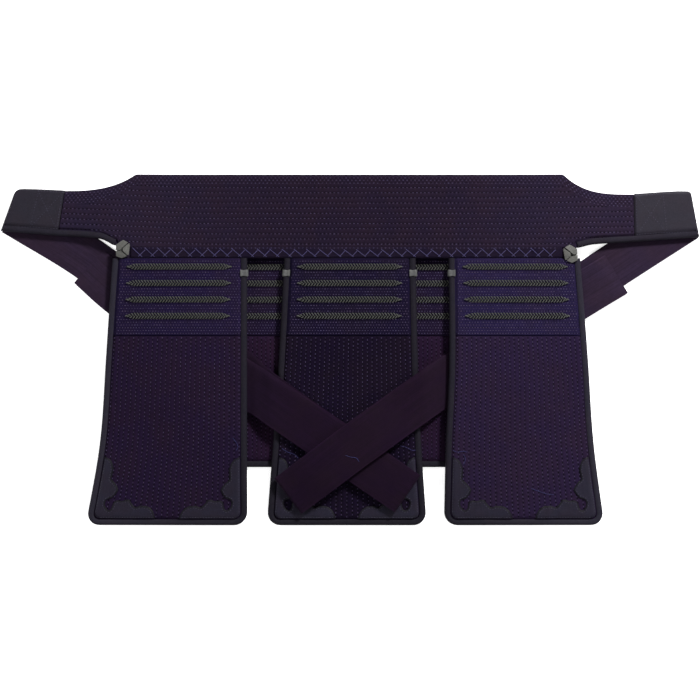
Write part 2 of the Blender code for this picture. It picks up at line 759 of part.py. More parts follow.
def add_tab(name, flap, side):
    """Leather tab folded over the binding's top and down its outer side."""
    y = SEAM_Y - TAB_DROP
    outward = -1 if side == 1 else 1
    half = flap["edge"]
    outside = GAP + BINDING_WALL
    lip = outside + GAP + TAB_THICKNESS - TAB_WIDTH
    near, far = outside + GAP, outside + GAP + TAB_THICKNESS
    under, over = half + GAP, half + GAP + TAB_THICKNESS
    profile = (
        (near, -half), (far, -half), (far, over - TAB_THICKNESS), (far - TAB_THICKNESS, over),
        (lip, over), (lip, under), (near - TAB_THICKNESS, under), (near, under - TAB_THICKNESS / 2),
    )
    sections = []
    for step, ridge in ((-0.5, 0.0), (-0.15, 0.0), (0.0, 0.5), (0.15, 0.0), (0.5, 0.0)):
        place_y = y + TAB_LENGTH * step
        section = []
        for out, up in profile:
            x = side_x(flap, place_y, side) + outward * out
            raised = ridge * TAB_THICKNESS if up == over else 0.0
            section.append(Vector((x, place_y, flap["lift"](x, place_y) + half + up + raised)))
        sections.append(section)
    if side == 1:
        sections = [list(reversed(section)) for section in sections]
    sweep(name, "tab", sections)


def cord_profile(width, height):
    """Low round section of a flat braid: (across, up)."""
    return (
        (-width / 2, 0.0), (-width * 0.36, height * 0.75), (0.0, height),
        (width * 0.36, height * 0.75), (width / 2, 0.0),
    )


def surface_of(thing):
    """Search tree over an object's faces, for laying trimmings on it."""
    return BVHTree.FromPolygons(
        [vertex.co for vertex in thing.data.vertices], [face.vertices[:] for face in thing.data.polygons]
    )


def surface_z(surface, x, y, reach=0.0):
    """Highest point of a surface within a reach of a place."""
    steps = ((0, 0), (reach, 0), (-reach, 0), (0, reach), (0, -reach)) if reach else ((0, 0),)
    down = Vector((0, 0, -1))
    return max(surface.ray_cast(Vector((x + dx, y + dy, 1.0)), down)[0].z for dx, dy in steps)


def add_cords(flap, surface, prefix, spans):
    """Braided cords across the upper panel, with pointed ends."""
    full = CORD_LENGTH - 2 * CORD_POINT
    stations = [(0.0, 0.15), (CORD_POINT / 2, 0.75)]
    stations += [(CORD_POINT + full * i / spans, 1.0) for i in range(spans + 1)]
    stations += [(CORD_LENGTH - CORD_POINT / 2, 0.75), (CORD_LENGTH, 0.15)]
    for number in range(CORD_COUNT):
        y = SEAM_Y - CORD_FIRST - CORD_PITCH * number
        middle = (side_x(flap, y, 1) + side_x(flap, y, 2)) / 2
        start = middle - CORD_LENGTH / 2
        sections = []
        for along, size in stations:
            x = start + along
            sections.append([
                Vector((x, y + across, surface_z(surface, x, y + across) + CORD_GAP + up))
                for across, up in cord_profile(CORD_WIDTH * size, CORD_HEIGHT * mix(size, 1.0, 0.3))
            ])
        sweep(f"{prefix}_{number + 1}", "cord", sections)


def add_patch(name, flap, surface, side):
    """Leather appliqué on a bottom corner: lobes up the side and along the bottom."""
    edge = GROOVE_END + 2 * GAP
    full = PAD_FULL + GAP
    outline = [(share * PATCH_SIZE, up * PATCH_SIZE) for share, up in PATCH_OUTLINE]
    tips = []
    for near, far in (outline[0], outline[-1][::-1]):
        tips.append((full, mix(PATCH_SIZE, far, (full - edge) / (near - edge))))
    outline = [(edge, PATCH_SIZE), tips[0]] + outline + [tips[1][::-1], (PATCH_SIZE, edge)]
    steps = [mix(edge, PATCH_SIZE, share) for share in PATCH_STEPS]
    outline += [(step, edge) for step in reversed(steps)] + [(edge, edge)]
    outline += [(edge, step) for step in steps]
    inner = [(full, full)] + [(full, step) for step in steps] + [(step, full) for step in steps]
    inner += [(full, 0.88 * PATCH_SIZE), (0.88 * PATCH_SIZE, full)]
    places = outline + inner
    triangles = fill_loop(outline, inner)
    points = []
    for above in (PATCH_THICKNESS, 0.0):
        for inset, up in places:
            x, y = flap_plan(flap, side, inset, up)
            points.append(Vector((x, y, surface_z(surface, x, y, PATCH_REACH) + PATCH_GAP + above)))
    under = len(places)
    faces = [tuple(face) for face in triangles]
    if side == 2:
        faces = [tuple(reversed(face)) for face in faces]
    faces += [tuple(under + corner for corner in reversed(face)) for face in faces]
    edges = {}
    for face in faces[:len(triangles)]:
        for k, here in enumerate(face):
            edges[(here, face[(k + 1) % len(face)])] = True
    for here, after in list(edges):
        if (after, here) not in edges:
            faces.append((here, under + here, under + after, after))
    make_object(name, "patch", points, faces)


# Assembly

SMALL_FLAPS = {
    side: make_flap(
        "small_flap_" + side, FLAP_PITCH * SMALL_AXES[side], SMALL_WIDTH, SMALL_LENGTH, SMALL_EDGES,
        SMALL_EDGE_THICKNESS, SMALL_CROWN, SMALL_CORNER, lambda x, y: 0.0,
    )
    for side in ("left", "right")
}
LARGE_FLAPS = {
    side: make_flap(
        "flap_" + side, FLAP_PITCH * FLAP_AXES[side], FLAP_WIDTH, FLAP_LENGTH, FLAP_EDGES[side],
        FLAP_EDGE_THICKNESS, FLAP_CROWN, FLAP_CORNER, centre_lift if side == "centre" else side_lift(side),
    )
    for side in ("left", "centre", "right")
}
BANDS = {
    side: [[strap_place(side, rows, mix(rows[0][0], 1.0, i / 12))[0] for i in range(13)]
           for rows in (STRAPS[side]["first"], STRAPS[side]["second"])]
    for side in ("left", "right")
}


def build():
    clear_scene()
    add_waistband()
    add_seam_strip()
    for side in ("left", "right"):
        add_cap(side)
        add_wing_binding(side)
        add_strap(side)
        add_rosette(side)
    for side, flap in SMALL_FLAPS.items():
        pad, grid = add_flap(flap, "small_flap", 3, 5)
        add_binding("small_binding_" + side, flap_path(grid), flap["edge"], flap["lift"])
        add_cords(flap, surface_of(pad), "small_cord_" + side, 1)
    for side, flap in LARGE_FLAPS.items():
        pad, grid = add_flap(flap, "flap", 4, 10)
        surface = surface_of(pad)
        add_binding("flap_binding_" + side, flap_path(grid), flap["edge"], flap["lift"])
        add_cords(flap, surface, "cord_" + side, 4)
        add_patch(f"corner_patch_{side}_a", flap, surface, 1)
        add_patch(f"corner_patch_{side}_b", flap, surface, 2)
    add_tab("tab_left", LARGE_FLAPS["left"], 2)
    add_tab("tab_centre_a", LARGE_FLAPS["centre"], 1)
    add_tab("tab_centre_b", LARGE_FLAPS["centre"], 2)
    add_tab("tab_right", LARGE_FLAPS["right"], 1)


build()
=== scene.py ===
import math
import random

import bmesh
import bpy
import numpy as np
from mathutils import Matrix, Vector, geometry, noise
from mathutils.bvhtree import BVHTree


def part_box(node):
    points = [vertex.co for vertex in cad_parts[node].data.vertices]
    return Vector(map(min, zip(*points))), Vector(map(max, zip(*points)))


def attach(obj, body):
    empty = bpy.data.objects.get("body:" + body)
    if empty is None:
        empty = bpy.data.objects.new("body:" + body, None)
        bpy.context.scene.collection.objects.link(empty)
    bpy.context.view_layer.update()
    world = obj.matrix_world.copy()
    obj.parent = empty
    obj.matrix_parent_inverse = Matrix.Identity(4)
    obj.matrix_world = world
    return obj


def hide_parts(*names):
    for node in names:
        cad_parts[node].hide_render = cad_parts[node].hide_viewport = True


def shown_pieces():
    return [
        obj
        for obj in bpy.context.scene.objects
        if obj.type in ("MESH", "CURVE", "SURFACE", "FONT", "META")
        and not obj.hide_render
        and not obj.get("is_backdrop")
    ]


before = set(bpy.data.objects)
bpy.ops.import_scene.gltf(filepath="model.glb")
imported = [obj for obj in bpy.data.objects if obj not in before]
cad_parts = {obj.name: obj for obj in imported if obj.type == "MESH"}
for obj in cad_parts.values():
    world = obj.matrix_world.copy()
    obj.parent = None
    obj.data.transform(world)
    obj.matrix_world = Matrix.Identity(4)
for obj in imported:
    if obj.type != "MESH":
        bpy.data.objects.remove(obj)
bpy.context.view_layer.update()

# Plan of the protector in metres: +X to the right, +Y to the waistband's top edge, +Z up.
plan = {
    "seamY": 0.103, "bandHeight": 0.0936, "pitch": 0.188,
    "largeWidth": 0.148, "largeLength": 0.2996, "smallWidth": 0.146, "smallLength": 0.2346,
    "corner": 0.0155, "bindingWidth": 0.0067, "panelSeam": 0.0155,
}
# Side edges: share of the length from the seam, left and right edge as shares of the width.
largeEdges = {
    "left": ((0.0, -0.498, 0.519), (0.12, -0.516, 0.519), (0.4, -0.556, 0.519), (0.7, -0.604, 0.519),
             (1.0, -0.709, 0.519)),
    "centre": ((0.0, -0.497, 0.497), (0.4, -0.541, 0.514), (0.7, -0.584, 0.540), (1.0, -0.631, 0.582)),
    "right": ((0.0, -0.498, 0.498), (0.4, -0.494, 0.563), (0.7, -0.520, 0.608), (1.0, -0.531, 0.688)),
}
smallEdges = ((0.0, -0.50, 0.50), (0.5, -0.505, 0.505), (1.0, -0.515, 0.515))
largeAxes = {"left": -1.02, "centre": 0.0, "right": 0.978}
smallAxes = {"left": -0.503, "right": 0.488}
wings = {
    "left": {
        "sign": -1, "length": 0.0548, "capLength": 0.0660, "seamTilt": 0.0073, "endTilt": 0.0150,
        "rootLow": 0.150, "bendLow": 0.228, "seamLow": 0.267, "endLow": 0.322,
        "seamTop": 0.805, "endTop": 0.828, "corner": 0.0085, "shoulder": 0.0245, "hollow": 3.0,
    },
    "right": {
        "sign": 1, "length": 0.0610, "capLength": 0.0738, "seamTilt": 0.0012, "endTilt": 0.0090,
        "rootLow": 0.122, "bendLow": 0.160, "seamLow": 0.194, "endLow": 0.252,
        "seamTop": 0.763, "endTop": 0.802, "corner": 0.0050, "shoulder": 0.0178, "hollow": 3.5,
    },
}
straps = {
    "left": {
        "sign": -1, "endAcross": 0.420, "endUp": 0.121,
        "first": ((0.0, 0.0), (0.19, 0.139), (0.57, 0.029), (0.65, -0.031), (1.0, 0.0)),
        "second": ((0.192, 0.009), (0.28, -0.094), (0.58, -0.105), (0.64, -0.076), (1.0, 0.0)),
    },
    "right": {
        "sign": 1, "endAcross": -0.455, "endUp": 0.113,
        "first": ((0.0, 0.0), (0.18, 0.067), (0.23, 0.076), (0.58, 0.105), (0.81, 0.083), (1.0, 0.0)),
        "second": ((0.185, -0.119), (0.285, -0.052), (0.58, 0.083), (0.81, 0.074), (1.0, 0.0)),
    },
}
patchOutline = (
    (0.200, 0.950), (0.255, 0.840), (0.258, 0.735), (0.258, 0.670), (0.317, 0.618), (0.375, 0.540),
    (0.380, 0.500), (0.323, 0.408), (0.243, 0.371), (0.228, 0.313), (0.257, 0.255), (0.305, 0.220),
    (0.339, 0.258), (0.352, 0.332), (0.392, 0.364), (0.464, 0.356), (0.560, 0.378), (0.618, 0.318),
    (0.680, 0.264), (0.748, 0.286), (0.861, 0.275), (0.930, 0.230), (0.966, 0.178),
)


# Helpers for shares and places

def smooth(share):
    share = min(max(share, 0.0), 1.0)
    return share * share * (3 - 2 * share)


def mix(low, high, share):
    return low + (high - low) * share


def rowValue(rows, share, column):
    last = len(rows) - 1
    share = min(max(share, rows[0][0]), rows[last][0])
    index = next(i for i in range(last) if share <= rows[i + 1][0])

    def slope(i):
        low, high = max(i - 1, 0), min(i + 1, last)
        return (rows[high][column] - rows[low][column]) / (rows[high][0] - rows[low][0])

    span = rows[index + 1][0] - rows[index][0]
    t = (share - rows[index][0]) / span
    start, end = rows[index][column], rows[index + 1][column]
    return (
        (2 * t**3 - 3 * t**2 + 1) * start + (t**3 - 2 * t**2 + t) * span * slope(index)
        + (3 * t**2 - 2 * t**3) * end + (t**3 - t**2) * span * slope(index + 1)
    )


# Height of some CAD solids read along upright rays, gaps filled from beside, then evened out
def heightField(names, fromBelow, step=0.004, passes=2):
    vertices, faces = [], []
    for name in names:
        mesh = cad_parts[name].data
        start = len(vertices)
        vertices += [vertex.co[:] for vertex in mesh.vertices]
        faces += [tuple(start + corner for corner in face.vertices) for face in mesh.polygons]
    tree = BVHTree.FromPolygons(vertices, faces)
    places = np.array(vertices)
    lowX, lowY = places[:, 0].min() - 3 * step, places[:, 1].min() - 3 * step
    columns = int((places[:, 0].max() - lowX) / step) + 4
    rows = int((places[:, 1].max() - lowY) / step) + 4
    grid = np.full((rows, columns), np.nan)
    startZ, way = (-1.0, Vector((0, 0, 1))) if fromBelow else (1.0, Vector((0, 0, -1)))
    for i in range(rows):
        for j in range(columns):
            hit = tree.ray_cast(Vector((lowX + j * step, lowY + i * step, startZ)), way)[0]
            if hit:
                grid[i, j] = hit.z
    while np.isnan(grid).any():
        known = ~np.isnan(grid)
        values = np.pad(np.where(known, grid, 0.0), 1)
        counts = np.pad(known.astype(float), 1)
        total, near = np.zeros(grid.shape), np.zeros(grid.shape)
        for di in (0, 1, 2):
            for dj in (0, 1, 2):
                total += values[di:di + rows, dj:dj + columns]
                near += counts[di:di + rows, dj:dj + columns]
        grid = np.where(known, grid, np.where(near > 0, total / np.maximum(near, 1), np.nan))
    for _ in range(passes):
        wide = np.pad(grid, 1, mode="edge")
        grid = sum(wide[di:di + rows, dj:dj + columns] for di in (0, 1, 2) for dj in (0, 1, 2)) / 9

    def height(x, y):
        u = min(max((x - lowX) / step, 0.0), columns - 1.001)
        v = min(max((y - lowY) / step, 0.0), rows - 1.001)
        j, i = int(u), int(v)
        u, v = u - j, v - i
        return float(mix(mix(grid[i, j], grid[i, j + 1], u), mix(grid[i + 1, j], grid[i + 1, j + 1], u), v))

    return height


# Node trees

def addNode(tree, kind, values=None, **settings):
    made = tree.nodes.new(kind)
    for name, value in settings.items():
        setattr(made, name, value)
    for key, value in (values or {}).items():
        if isinstance(value, bpy.types.NodeSocket):
            tree.links.new(value, made.inputs[key])
        else:
            made.inputs[key].default_value = value
    return made


def calc(tree, operation, *values):
    return addNode(tree, "ShaderNodeMath", dict(enumerate(values)), operation=operation).outputs[0]


def newGroup(name, kind, inputs, outputs):
    tree = bpy.data.node_groups.new(name, kind)
    for label, socketType, value in inputs:
        socket = tree.interface.new_socket(name=label, in_out="INPUT", socket_type=socketType)
        if value is not None:
            socket.default_value = value
    for label, socketType in outputs:
        tree.interface.new_socket(name=label, in_out="OUTPUT", socket_type=socketType)
    return tree, tree.nodes.new("NodeGroupInput"), tree.nodes.new("NodeGroupOutput")


def blendColour(tree, share, first, second, mode="MIX"):
    values = {0: share, 6: first, 7: second}
    return addNode(tree, "ShaderNodeMix", values, data_type="RGBA", blend_type=mode).outputs[2]


def shadeBy(tree, colour, light):
    grey = addNode(tree, "ShaderNodeCombineColor", {0: light, 1: light, 2: light})
    return blendColour(tree, 1.0, colour, grey.outputs[0], "MULTIPLY")


def tintBy(tree, colour, share, tint):
    return blendColour(tree, 1.0, colour, blendColour(tree, share, (1, 1, 1, 1), (*tint, 1)), "MULTIPLY")


def rangeOf(tree, value, fromLow, fromHigh, toLow=0.0, toHigh=1.0, kind="LINEAR"):
    return addNode(tree, "ShaderNodeMapRange", {
        "Value": value, "From Min": fromLow, "From Max": fromHigh, "To Min": toLow, "To Max": toHigh,
    }, interpolation_type=kind).outputs[0]


# Runs a Geometry Nodes tree on a mesh of points and edges, and keeps the plain result
def growPiece(name, tree, places, edges, values, fixNormals=False):
    mesh = bpy.data.meshes.new(name)
    mesh.from_pydata([tuple(place) for place in places], edges, [])
    base = bpy.data.objects.new(name + "_path", mesh)
    bpy.context.collection.objects.link(base)
    modifier = base.modifiers.new("grow", "NODES")
    modifier.node_group = tree
    for item in tree.interface.items_tree:
        if item.item_type == "SOCKET" and item.in_out == "INPUT" and item.name in values:
            modifier[item.identifier] = values[item.name]
    base.update_tag()
    shown = base.evaluated_get(bpy.context.evaluated_depsgraph_get())
    result = bpy.data.meshes.new_from_object(shown)
    base.modifiers.clear()
    bpy.data.objects.remove(base)
    bpy.data.meshes.remove(mesh)
    if fixNormals:
        turnOutwards(result)
    return makePiece(name, result)


def turnOutwards(mesh):
    body = bmesh.new()
    body.from_mesh(mesh)
    bmesh.ops.recalc_face_normals(body, faces=body.faces)
    body.to_mesh(mesh)
    body.free()


def makePiece(name, mesh, material=None, angle=40):
    mesh.name = name
    piece = bpy.data.objects.new(name, mesh)
    bpy.context.collection.objects.link(piece)
    if material:
        mesh.materials.clear()
        mesh.materials.append(material)
    mesh.shade_smooth()
    mesh.set_sharp_from_angle(angle=math.radians(angle))
    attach(piece, "root")
    return piece


# Shader groups

def makeWeaveGroup():
    tree, start, end = newGroup(
        "weave", "ShaderNodeTree",
        [("Place", "NodeSocketVector", None), ("Pitch", "NodeSocketFloat", 0.001),
         ("Twill", "NodeSocketFloat", 0.0)],
        [("Height", "NodeSocketFloat")],
    )
    parts = addNode(tree, "ShaderNodeSeparateXYZ", {0: start.outputs["Place"]})
    turn = calc(tree, "DIVIDE", math.pi, start.outputs["Pitch"])
    along = calc(tree, "MULTIPLY", parts.outputs[0], turn)
    across = calc(tree, "MULTIPLY", parts.outputs[1], turn)
    slant = calc(tree, "ADD", along, calc(tree, "MULTIPLY", across, start.outputs["Twill"]))
    warp = calc(tree, "ABSOLUTE", calc(tree, "SINE", slant))
    weft = calc(tree, "ABSOLUTE", calc(tree, "SINE", across))
    over = calc(tree, "MULTIPLY", calc(tree, "SINE", slant), calc(tree, "SINE", across))
    side = calc(tree, "ADD", calc(tree, "MULTIPLY", over, 0.5), 0.5)
    tops = calc(tree, "ADD", calc(tree, "MULTIPLY", warp, side),
                calc(tree, "MULTIPLY", weft, calc(tree, "SUBTRACT", 1.0, side)))
    tree.links.new(tops, end.inputs["Height"])
    return tree


# Uneven indigo: blue-grey and reddish purple in soft patches, paler where it has rubbed
def makeDyeGroup():
    tree, start, end = newGroup(
        "dyeVariation", "ShaderNodeTree",
        [("Place", "NodeSocketVector", None), ("Blue", "NodeSocketColor", (0, 0, 0, 1)),
         ("Purple", "NodeSocketColor", (0, 0, 0, 1)), ("Patch Size", "NodeSocketFloat", 0.02),
         ("Rub", "NodeSocketFloat", 0.2)],
        [("Color", "NodeSocketColor"), ("Mask", "NodeSocketFloat")],
    )
    scale = calc(tree, "DIVIDE", 1.0, start.outputs["Patch Size"])
    broad = addNode(tree, "ShaderNodeTexNoise", {
        "Vector": start.outputs["Place"], "Scale": scale, "Detail": 2.5, "Roughness": 0.55,
    })
    share = rangeOf(tree, broad.outputs["Fac"], 0.36, 0.64)
    fine = addNode(tree, "ShaderNodeTexNoise", {
        "Vector": start.outputs["Place"], "Scale": calc(tree, "MULTIPLY", scale, 9.0),
        "Detail": 3.0, "Roughness": 0.6,
    })
    colour = blendColour(tree, share, start.outputs["Blue"], start.outputs["Purple"])
    rubbed = calc(tree, "MULTIPLY", start.outputs["Rub"], 4.0)
    uneven = calc(tree, "SUBTRACT", fine.outputs["Fac"], 0.5)
    light = calc(tree, "ADD", calc(tree, "MULTIPLY", uneven, rubbed), 1.0)
    tree.links.new(shadeBy(tree, colour, light), end.inputs["Color"])
    tree.links.new(share, end.inputs["Mask"])
    return tree


# Needle pits between the stitches, on a UV map counted in stitch rows and stitches
def makePitGroup():
    tree, start, end = newGroup(
        "needlePits", "ShaderNodeTree",
        [("Place", "NodeSocketVector", None), ("Radius", "NodeSocketFloat", 0.2),
         ("Stretch", "NodeSocketFloat", 1.3)],
        [("Mask", "NodeSocketFloat")],
    )
    parts = addNode(tree, "ShaderNodeSeparateXYZ", {0: start.outputs["Place"]})
    row = calc(tree, "ROUND", parts.outputs[0])
    across = calc(tree, "MULTIPLY", calc(tree, "SUBTRACT", parts.outputs[0], row), start.outputs["Stretch"])
    odd = calc(tree, "MULTIPLY", calc(tree, "PINGPONG", row, 1.0), 0.5)
    along = calc(tree, "ADD", calc(tree, "ADD", parts.outputs[1], odd), 0.5)
    along = calc(tree, "SUBTRACT", along, calc(tree, "ROUND", along))
    far = calc(tree, "SQRT", calc(tree, "ADD", calc(tree, "MULTIPLY", across, across),
                                  calc(tree, "MULTIPLY", along, along)))
    mask = rangeOf(tree, far, start.outputs["Radius"], 0.06, kind="SMOOTHSTEP")
    tree.links.new(mask, end.inputs["Mask"])
    return tree


def makeLeatherGroup():
    tree, start, end = newGroup(
        "leatherGrain", "ShaderNodeTree",
        [("Place", "NodeSocketVector", None), ("Grain", "NodeSocketFloat", 0.0012)],
        [("Height", "NodeSocketFloat"), ("Mottle", "NodeSocketFloat")],
    )
    scale = calc(tree, "DIVIDE", 1.0, start.outputs["Grain"])
    cells = addNode(tree, "ShaderNodeTexVoronoi", {"Vector": start.outputs["Place"], "Scale": scale},
                    feature="DISTANCE_TO_EDGE")
    crease = calc(tree, "MINIMUM", cells.outputs["Distance"], 0.25)
    fold = addNode(tree, "ShaderNodeTexNoise", {
        "Vector": start.outputs["Place"], "Scale": calc(tree, "MULTIPLY", scale, 0.12), "Detail": 4.0,
    })
    total = calc(tree, "ADD", calc(tree, "MULTIPLY", crease, 2.0), fold.outputs["Fac"])
    tree.links.new(total, end.inputs["Height"])
    tree.links.new(fold.outputs["Fac"], end.inputs["Mottle"])
    return tree


weaveGroup, dyeGroup = makeWeaveGroup(), makeDyeGroup()
pitGroup, leatherGroup = makePitGroup(), makeLeatherGroup()


def newMaterial(name, specular):
    material = bpy.data.materials.new(name)
    material.use_nodes = True
    tree = material.node_tree
    shader = tree.nodes["Principled BSDF"]
    shader.inputs["Specular IOR Level"].default_value = specular
    return material, tree, shader


def placeOf(tree):
    return addNode(tree, "ShaderNodeTexCoord").outputs["Object"]


def bumpInto(tree, shader, height, strength, distance):
    bump = addNode(tree, "ShaderNodeBump", {"Strength": strength, "Distance": distance, "Height": height})
    tree.links.new(bump.outputs[0], shader.inputs["Normal"])


# Woven cotton. Pits: radius of its needle pits, painted near-black as painted shade in the holes.
# Outward: painted light, how much paler in red, green and blue it is towards the sides. Upper: how much
# paler in red, green and blue it is on the flaps' upper panels.
# Webbing: the UV map is in metres across and along, with a selvedge line painted paler at each edge,
# partly a painted highlight on the rounded edge, and lengthwise streaks.
def makeCloth(name, blue, purple, patch=0.02, rub=0.2, weavePitch=0.0011, twill=0.0, pits=0.0,
              rough=(0.82, 0.95), weaveDepth=0.00025, webbing=0.0, squeeze=1.0, outward=None, upper=None):
    material, tree, shader = newMaterial(name, 0.07)
    place = placeOf(tree)
    ownPlace = addNode(tree, "ShaderNodeUVMap", uv_map="UVMap").outputs[0] if webbing or pits else None
    weave = addNode(tree, "ShaderNodeGroup", node_tree=weaveGroup, values={
        "Place": ownPlace if webbing else place, "Pitch": weavePitch, "Twill": twill,
    })
    dye = addNode(tree, "ShaderNodeGroup", node_tree=dyeGroup, values={
        "Place": place, "Blue": (*blue, 1), "Purple": (*purple, 1), "Patch Size": patch, "Rub": rub,
    })
    height = weave.outputs["Height"]
    # painted shade and light on the weave: its low places are painted darker and its raised threads paler
    colour = shadeBy(tree, dye.outputs["Color"], rangeOf(tree, height, 0.1, 0.9, 0.72, 1.16))
    parts = addNode(tree, "ShaderNodeSeparateXYZ", {0: place})
    # painted light: the cloth is tinted paler towards the sides, as if more light fell there
    if outward:
        share = rangeOf(tree, calc(tree, "ABSOLUTE", parts.outputs[0]), 0.05, 0.30, kind="SMOOTHSTEP")
        colour = tintBy(tree, colour, share, outward)
    if upper:
        share = rangeOf(tree, parts.outputs[1], plan["panelSeam"] - 0.0003, plan["panelSeam"] + 0.0003)
        colour = tintBy(tree, colour, share, upper)
    if webbing:
        across = addNode(tree, "ShaderNodeSeparateXYZ", {0: ownPlace}).outputs[0]
        fromEdge = calc(tree, "MINIMUM", across, calc(tree, "SUBTRACT", webbing, across))
        # the strap's edges are painted paler: a selvedge line, partly a painted highlight on the rounded
        # edge
        colour = shadeBy(tree, colour, rangeOf(tree, fromEdge, 0.0008, 0.0016, 1.3, 1.0))
        drawn = addNode(tree, "ShaderNodeVectorMath", {0: ownPlace, 1: (950, 16, 1)}, operation="MULTIPLY")
        streak = addNode(tree, "ShaderNodeTexNoise", {
            "Vector": drawn.outputs[0], "Scale": 1.0, "Detail": 2.0,
        }).outputs["Fac"]
        colour = shadeBy(tree, colour, rangeOf(tree, streak, 0.3, 0.7, 0.78, 1.22))
    if pits:
        pit = addNode(tree, "ShaderNodeGroup", node_tree=pitGroup, values={
            "Place": ownPlace, "Radius": pits, "Stretch": squeeze,
        })
        # painted shade: the needle pits are painted near-black as the shade in the holes, besides the bump
        # that dents them
        colour = blendColour(tree, pit.outputs["Mask"], colour, (0.0008, 0.0006, 0.0015, 1))
        height = calc(tree, "SUBTRACT", height, calc(tree, "MULTIPLY", pit.outputs["Mask"], 4.0))
    tree.links.new(colour, shader.inputs["Base Color"])
    dull = rangeOf(tree, dye.outputs["Mask"], 0.0, 1.0, rough[1], rough[0])
    tree.links.new(dull, shader.inputs["Roughness"])
    bumpInto(tree, shader, height, 0.7, weaveDepth)
    return material


# Leather; the attribute "rim" paints a cut edge near-black: painted shade along the edge
def makeLeather(name, dark, pale, grain=0.0012, rough=(0.5, 0.68), specular=0.25, depth=0.0002, rim=False):
    material, tree, shader = newMaterial(name, specular)
    place = placeOf(tree)
    skin = addNode(tree, "ShaderNodeGroup", {"Place": place, "Grain": grain}, node_tree=leatherGroup)
    dye = addNode(tree, "ShaderNodeGroup", node_tree=dyeGroup, values={
        "Place": place, "Blue": (*dark, 1), "Purple": (*pale, 1), "Patch Size": 0.016, "Rub": 0.25,
    })
    colour = dye.outputs["Color"]
    if rim:
        edge = addNode(tree, "ShaderNodeAttribute", attribute_name="rim").outputs["Fac"]
        # painted shade: the edge is darkened towards black
        colour = blendColour(tree, edge, colour, (0.001, 0.001, 0.002, 1))
    tree.links.new(colour, shader.inputs["Base Color"])
    tree.links.new(rangeOf(tree, skin.outputs["Mottle"], 0.3, 0.7, *rough), shader.inputs["Roughness"])
    bumpInto(tree, shader, skin.outputs["Height"], 0.5, depth)
    return material


# Twisted thread. Depth: share of its colour left where the attribute "height" is lowest: painted shade
# where a strand dips under the others, and painted light where it lies on top.
def makeThread(name, dark, pale, size=0.003, depth=None):
    material, tree, shader = newMaterial(name, 0.1)
    dye = addNode(tree, "ShaderNodeGroup", node_tree=dyeGroup, values={
        "Place": placeOf(tree), "Blue": (*dark, 1), "Purple": (*pale, 1), "Patch Size": size, "Rub": 0.2,
    })
    twist = addNode(tree, "ShaderNodeTexWave", {
        "Vector": placeOf(tree), "Scale": 700.0, "Distortion": 1.5, "Detail": 1.0,
    }, bands_direction="DIAGONAL")
    colour = dye.outputs["Color"]
    if depth is not None:
        level = addNode(tree, "ShaderNodeAttribute", attribute_name="height").outputs["Fac"]
        # painted shade and light: darker where the strand lies low, paler where it lies high
        colour = shadeBy(tree, colour, rangeOf(tree, level, 0.38, 0.72, depth, 1.35, "SMOOTHSTEP"))
    tree.links.new(colour, shader.inputs["Base Color"])
    tree.links.new(rangeOf(tree, dye.outputs["Mask"], 0.0, 1.0, 0.7, 0.9), shader.inputs["Roughness"])
    bumpInto(tree, shader, twist.outputs["Fac"], 0.5, 0.0001)
    return material


upperTint = (0.84, 1.06, 1.30)
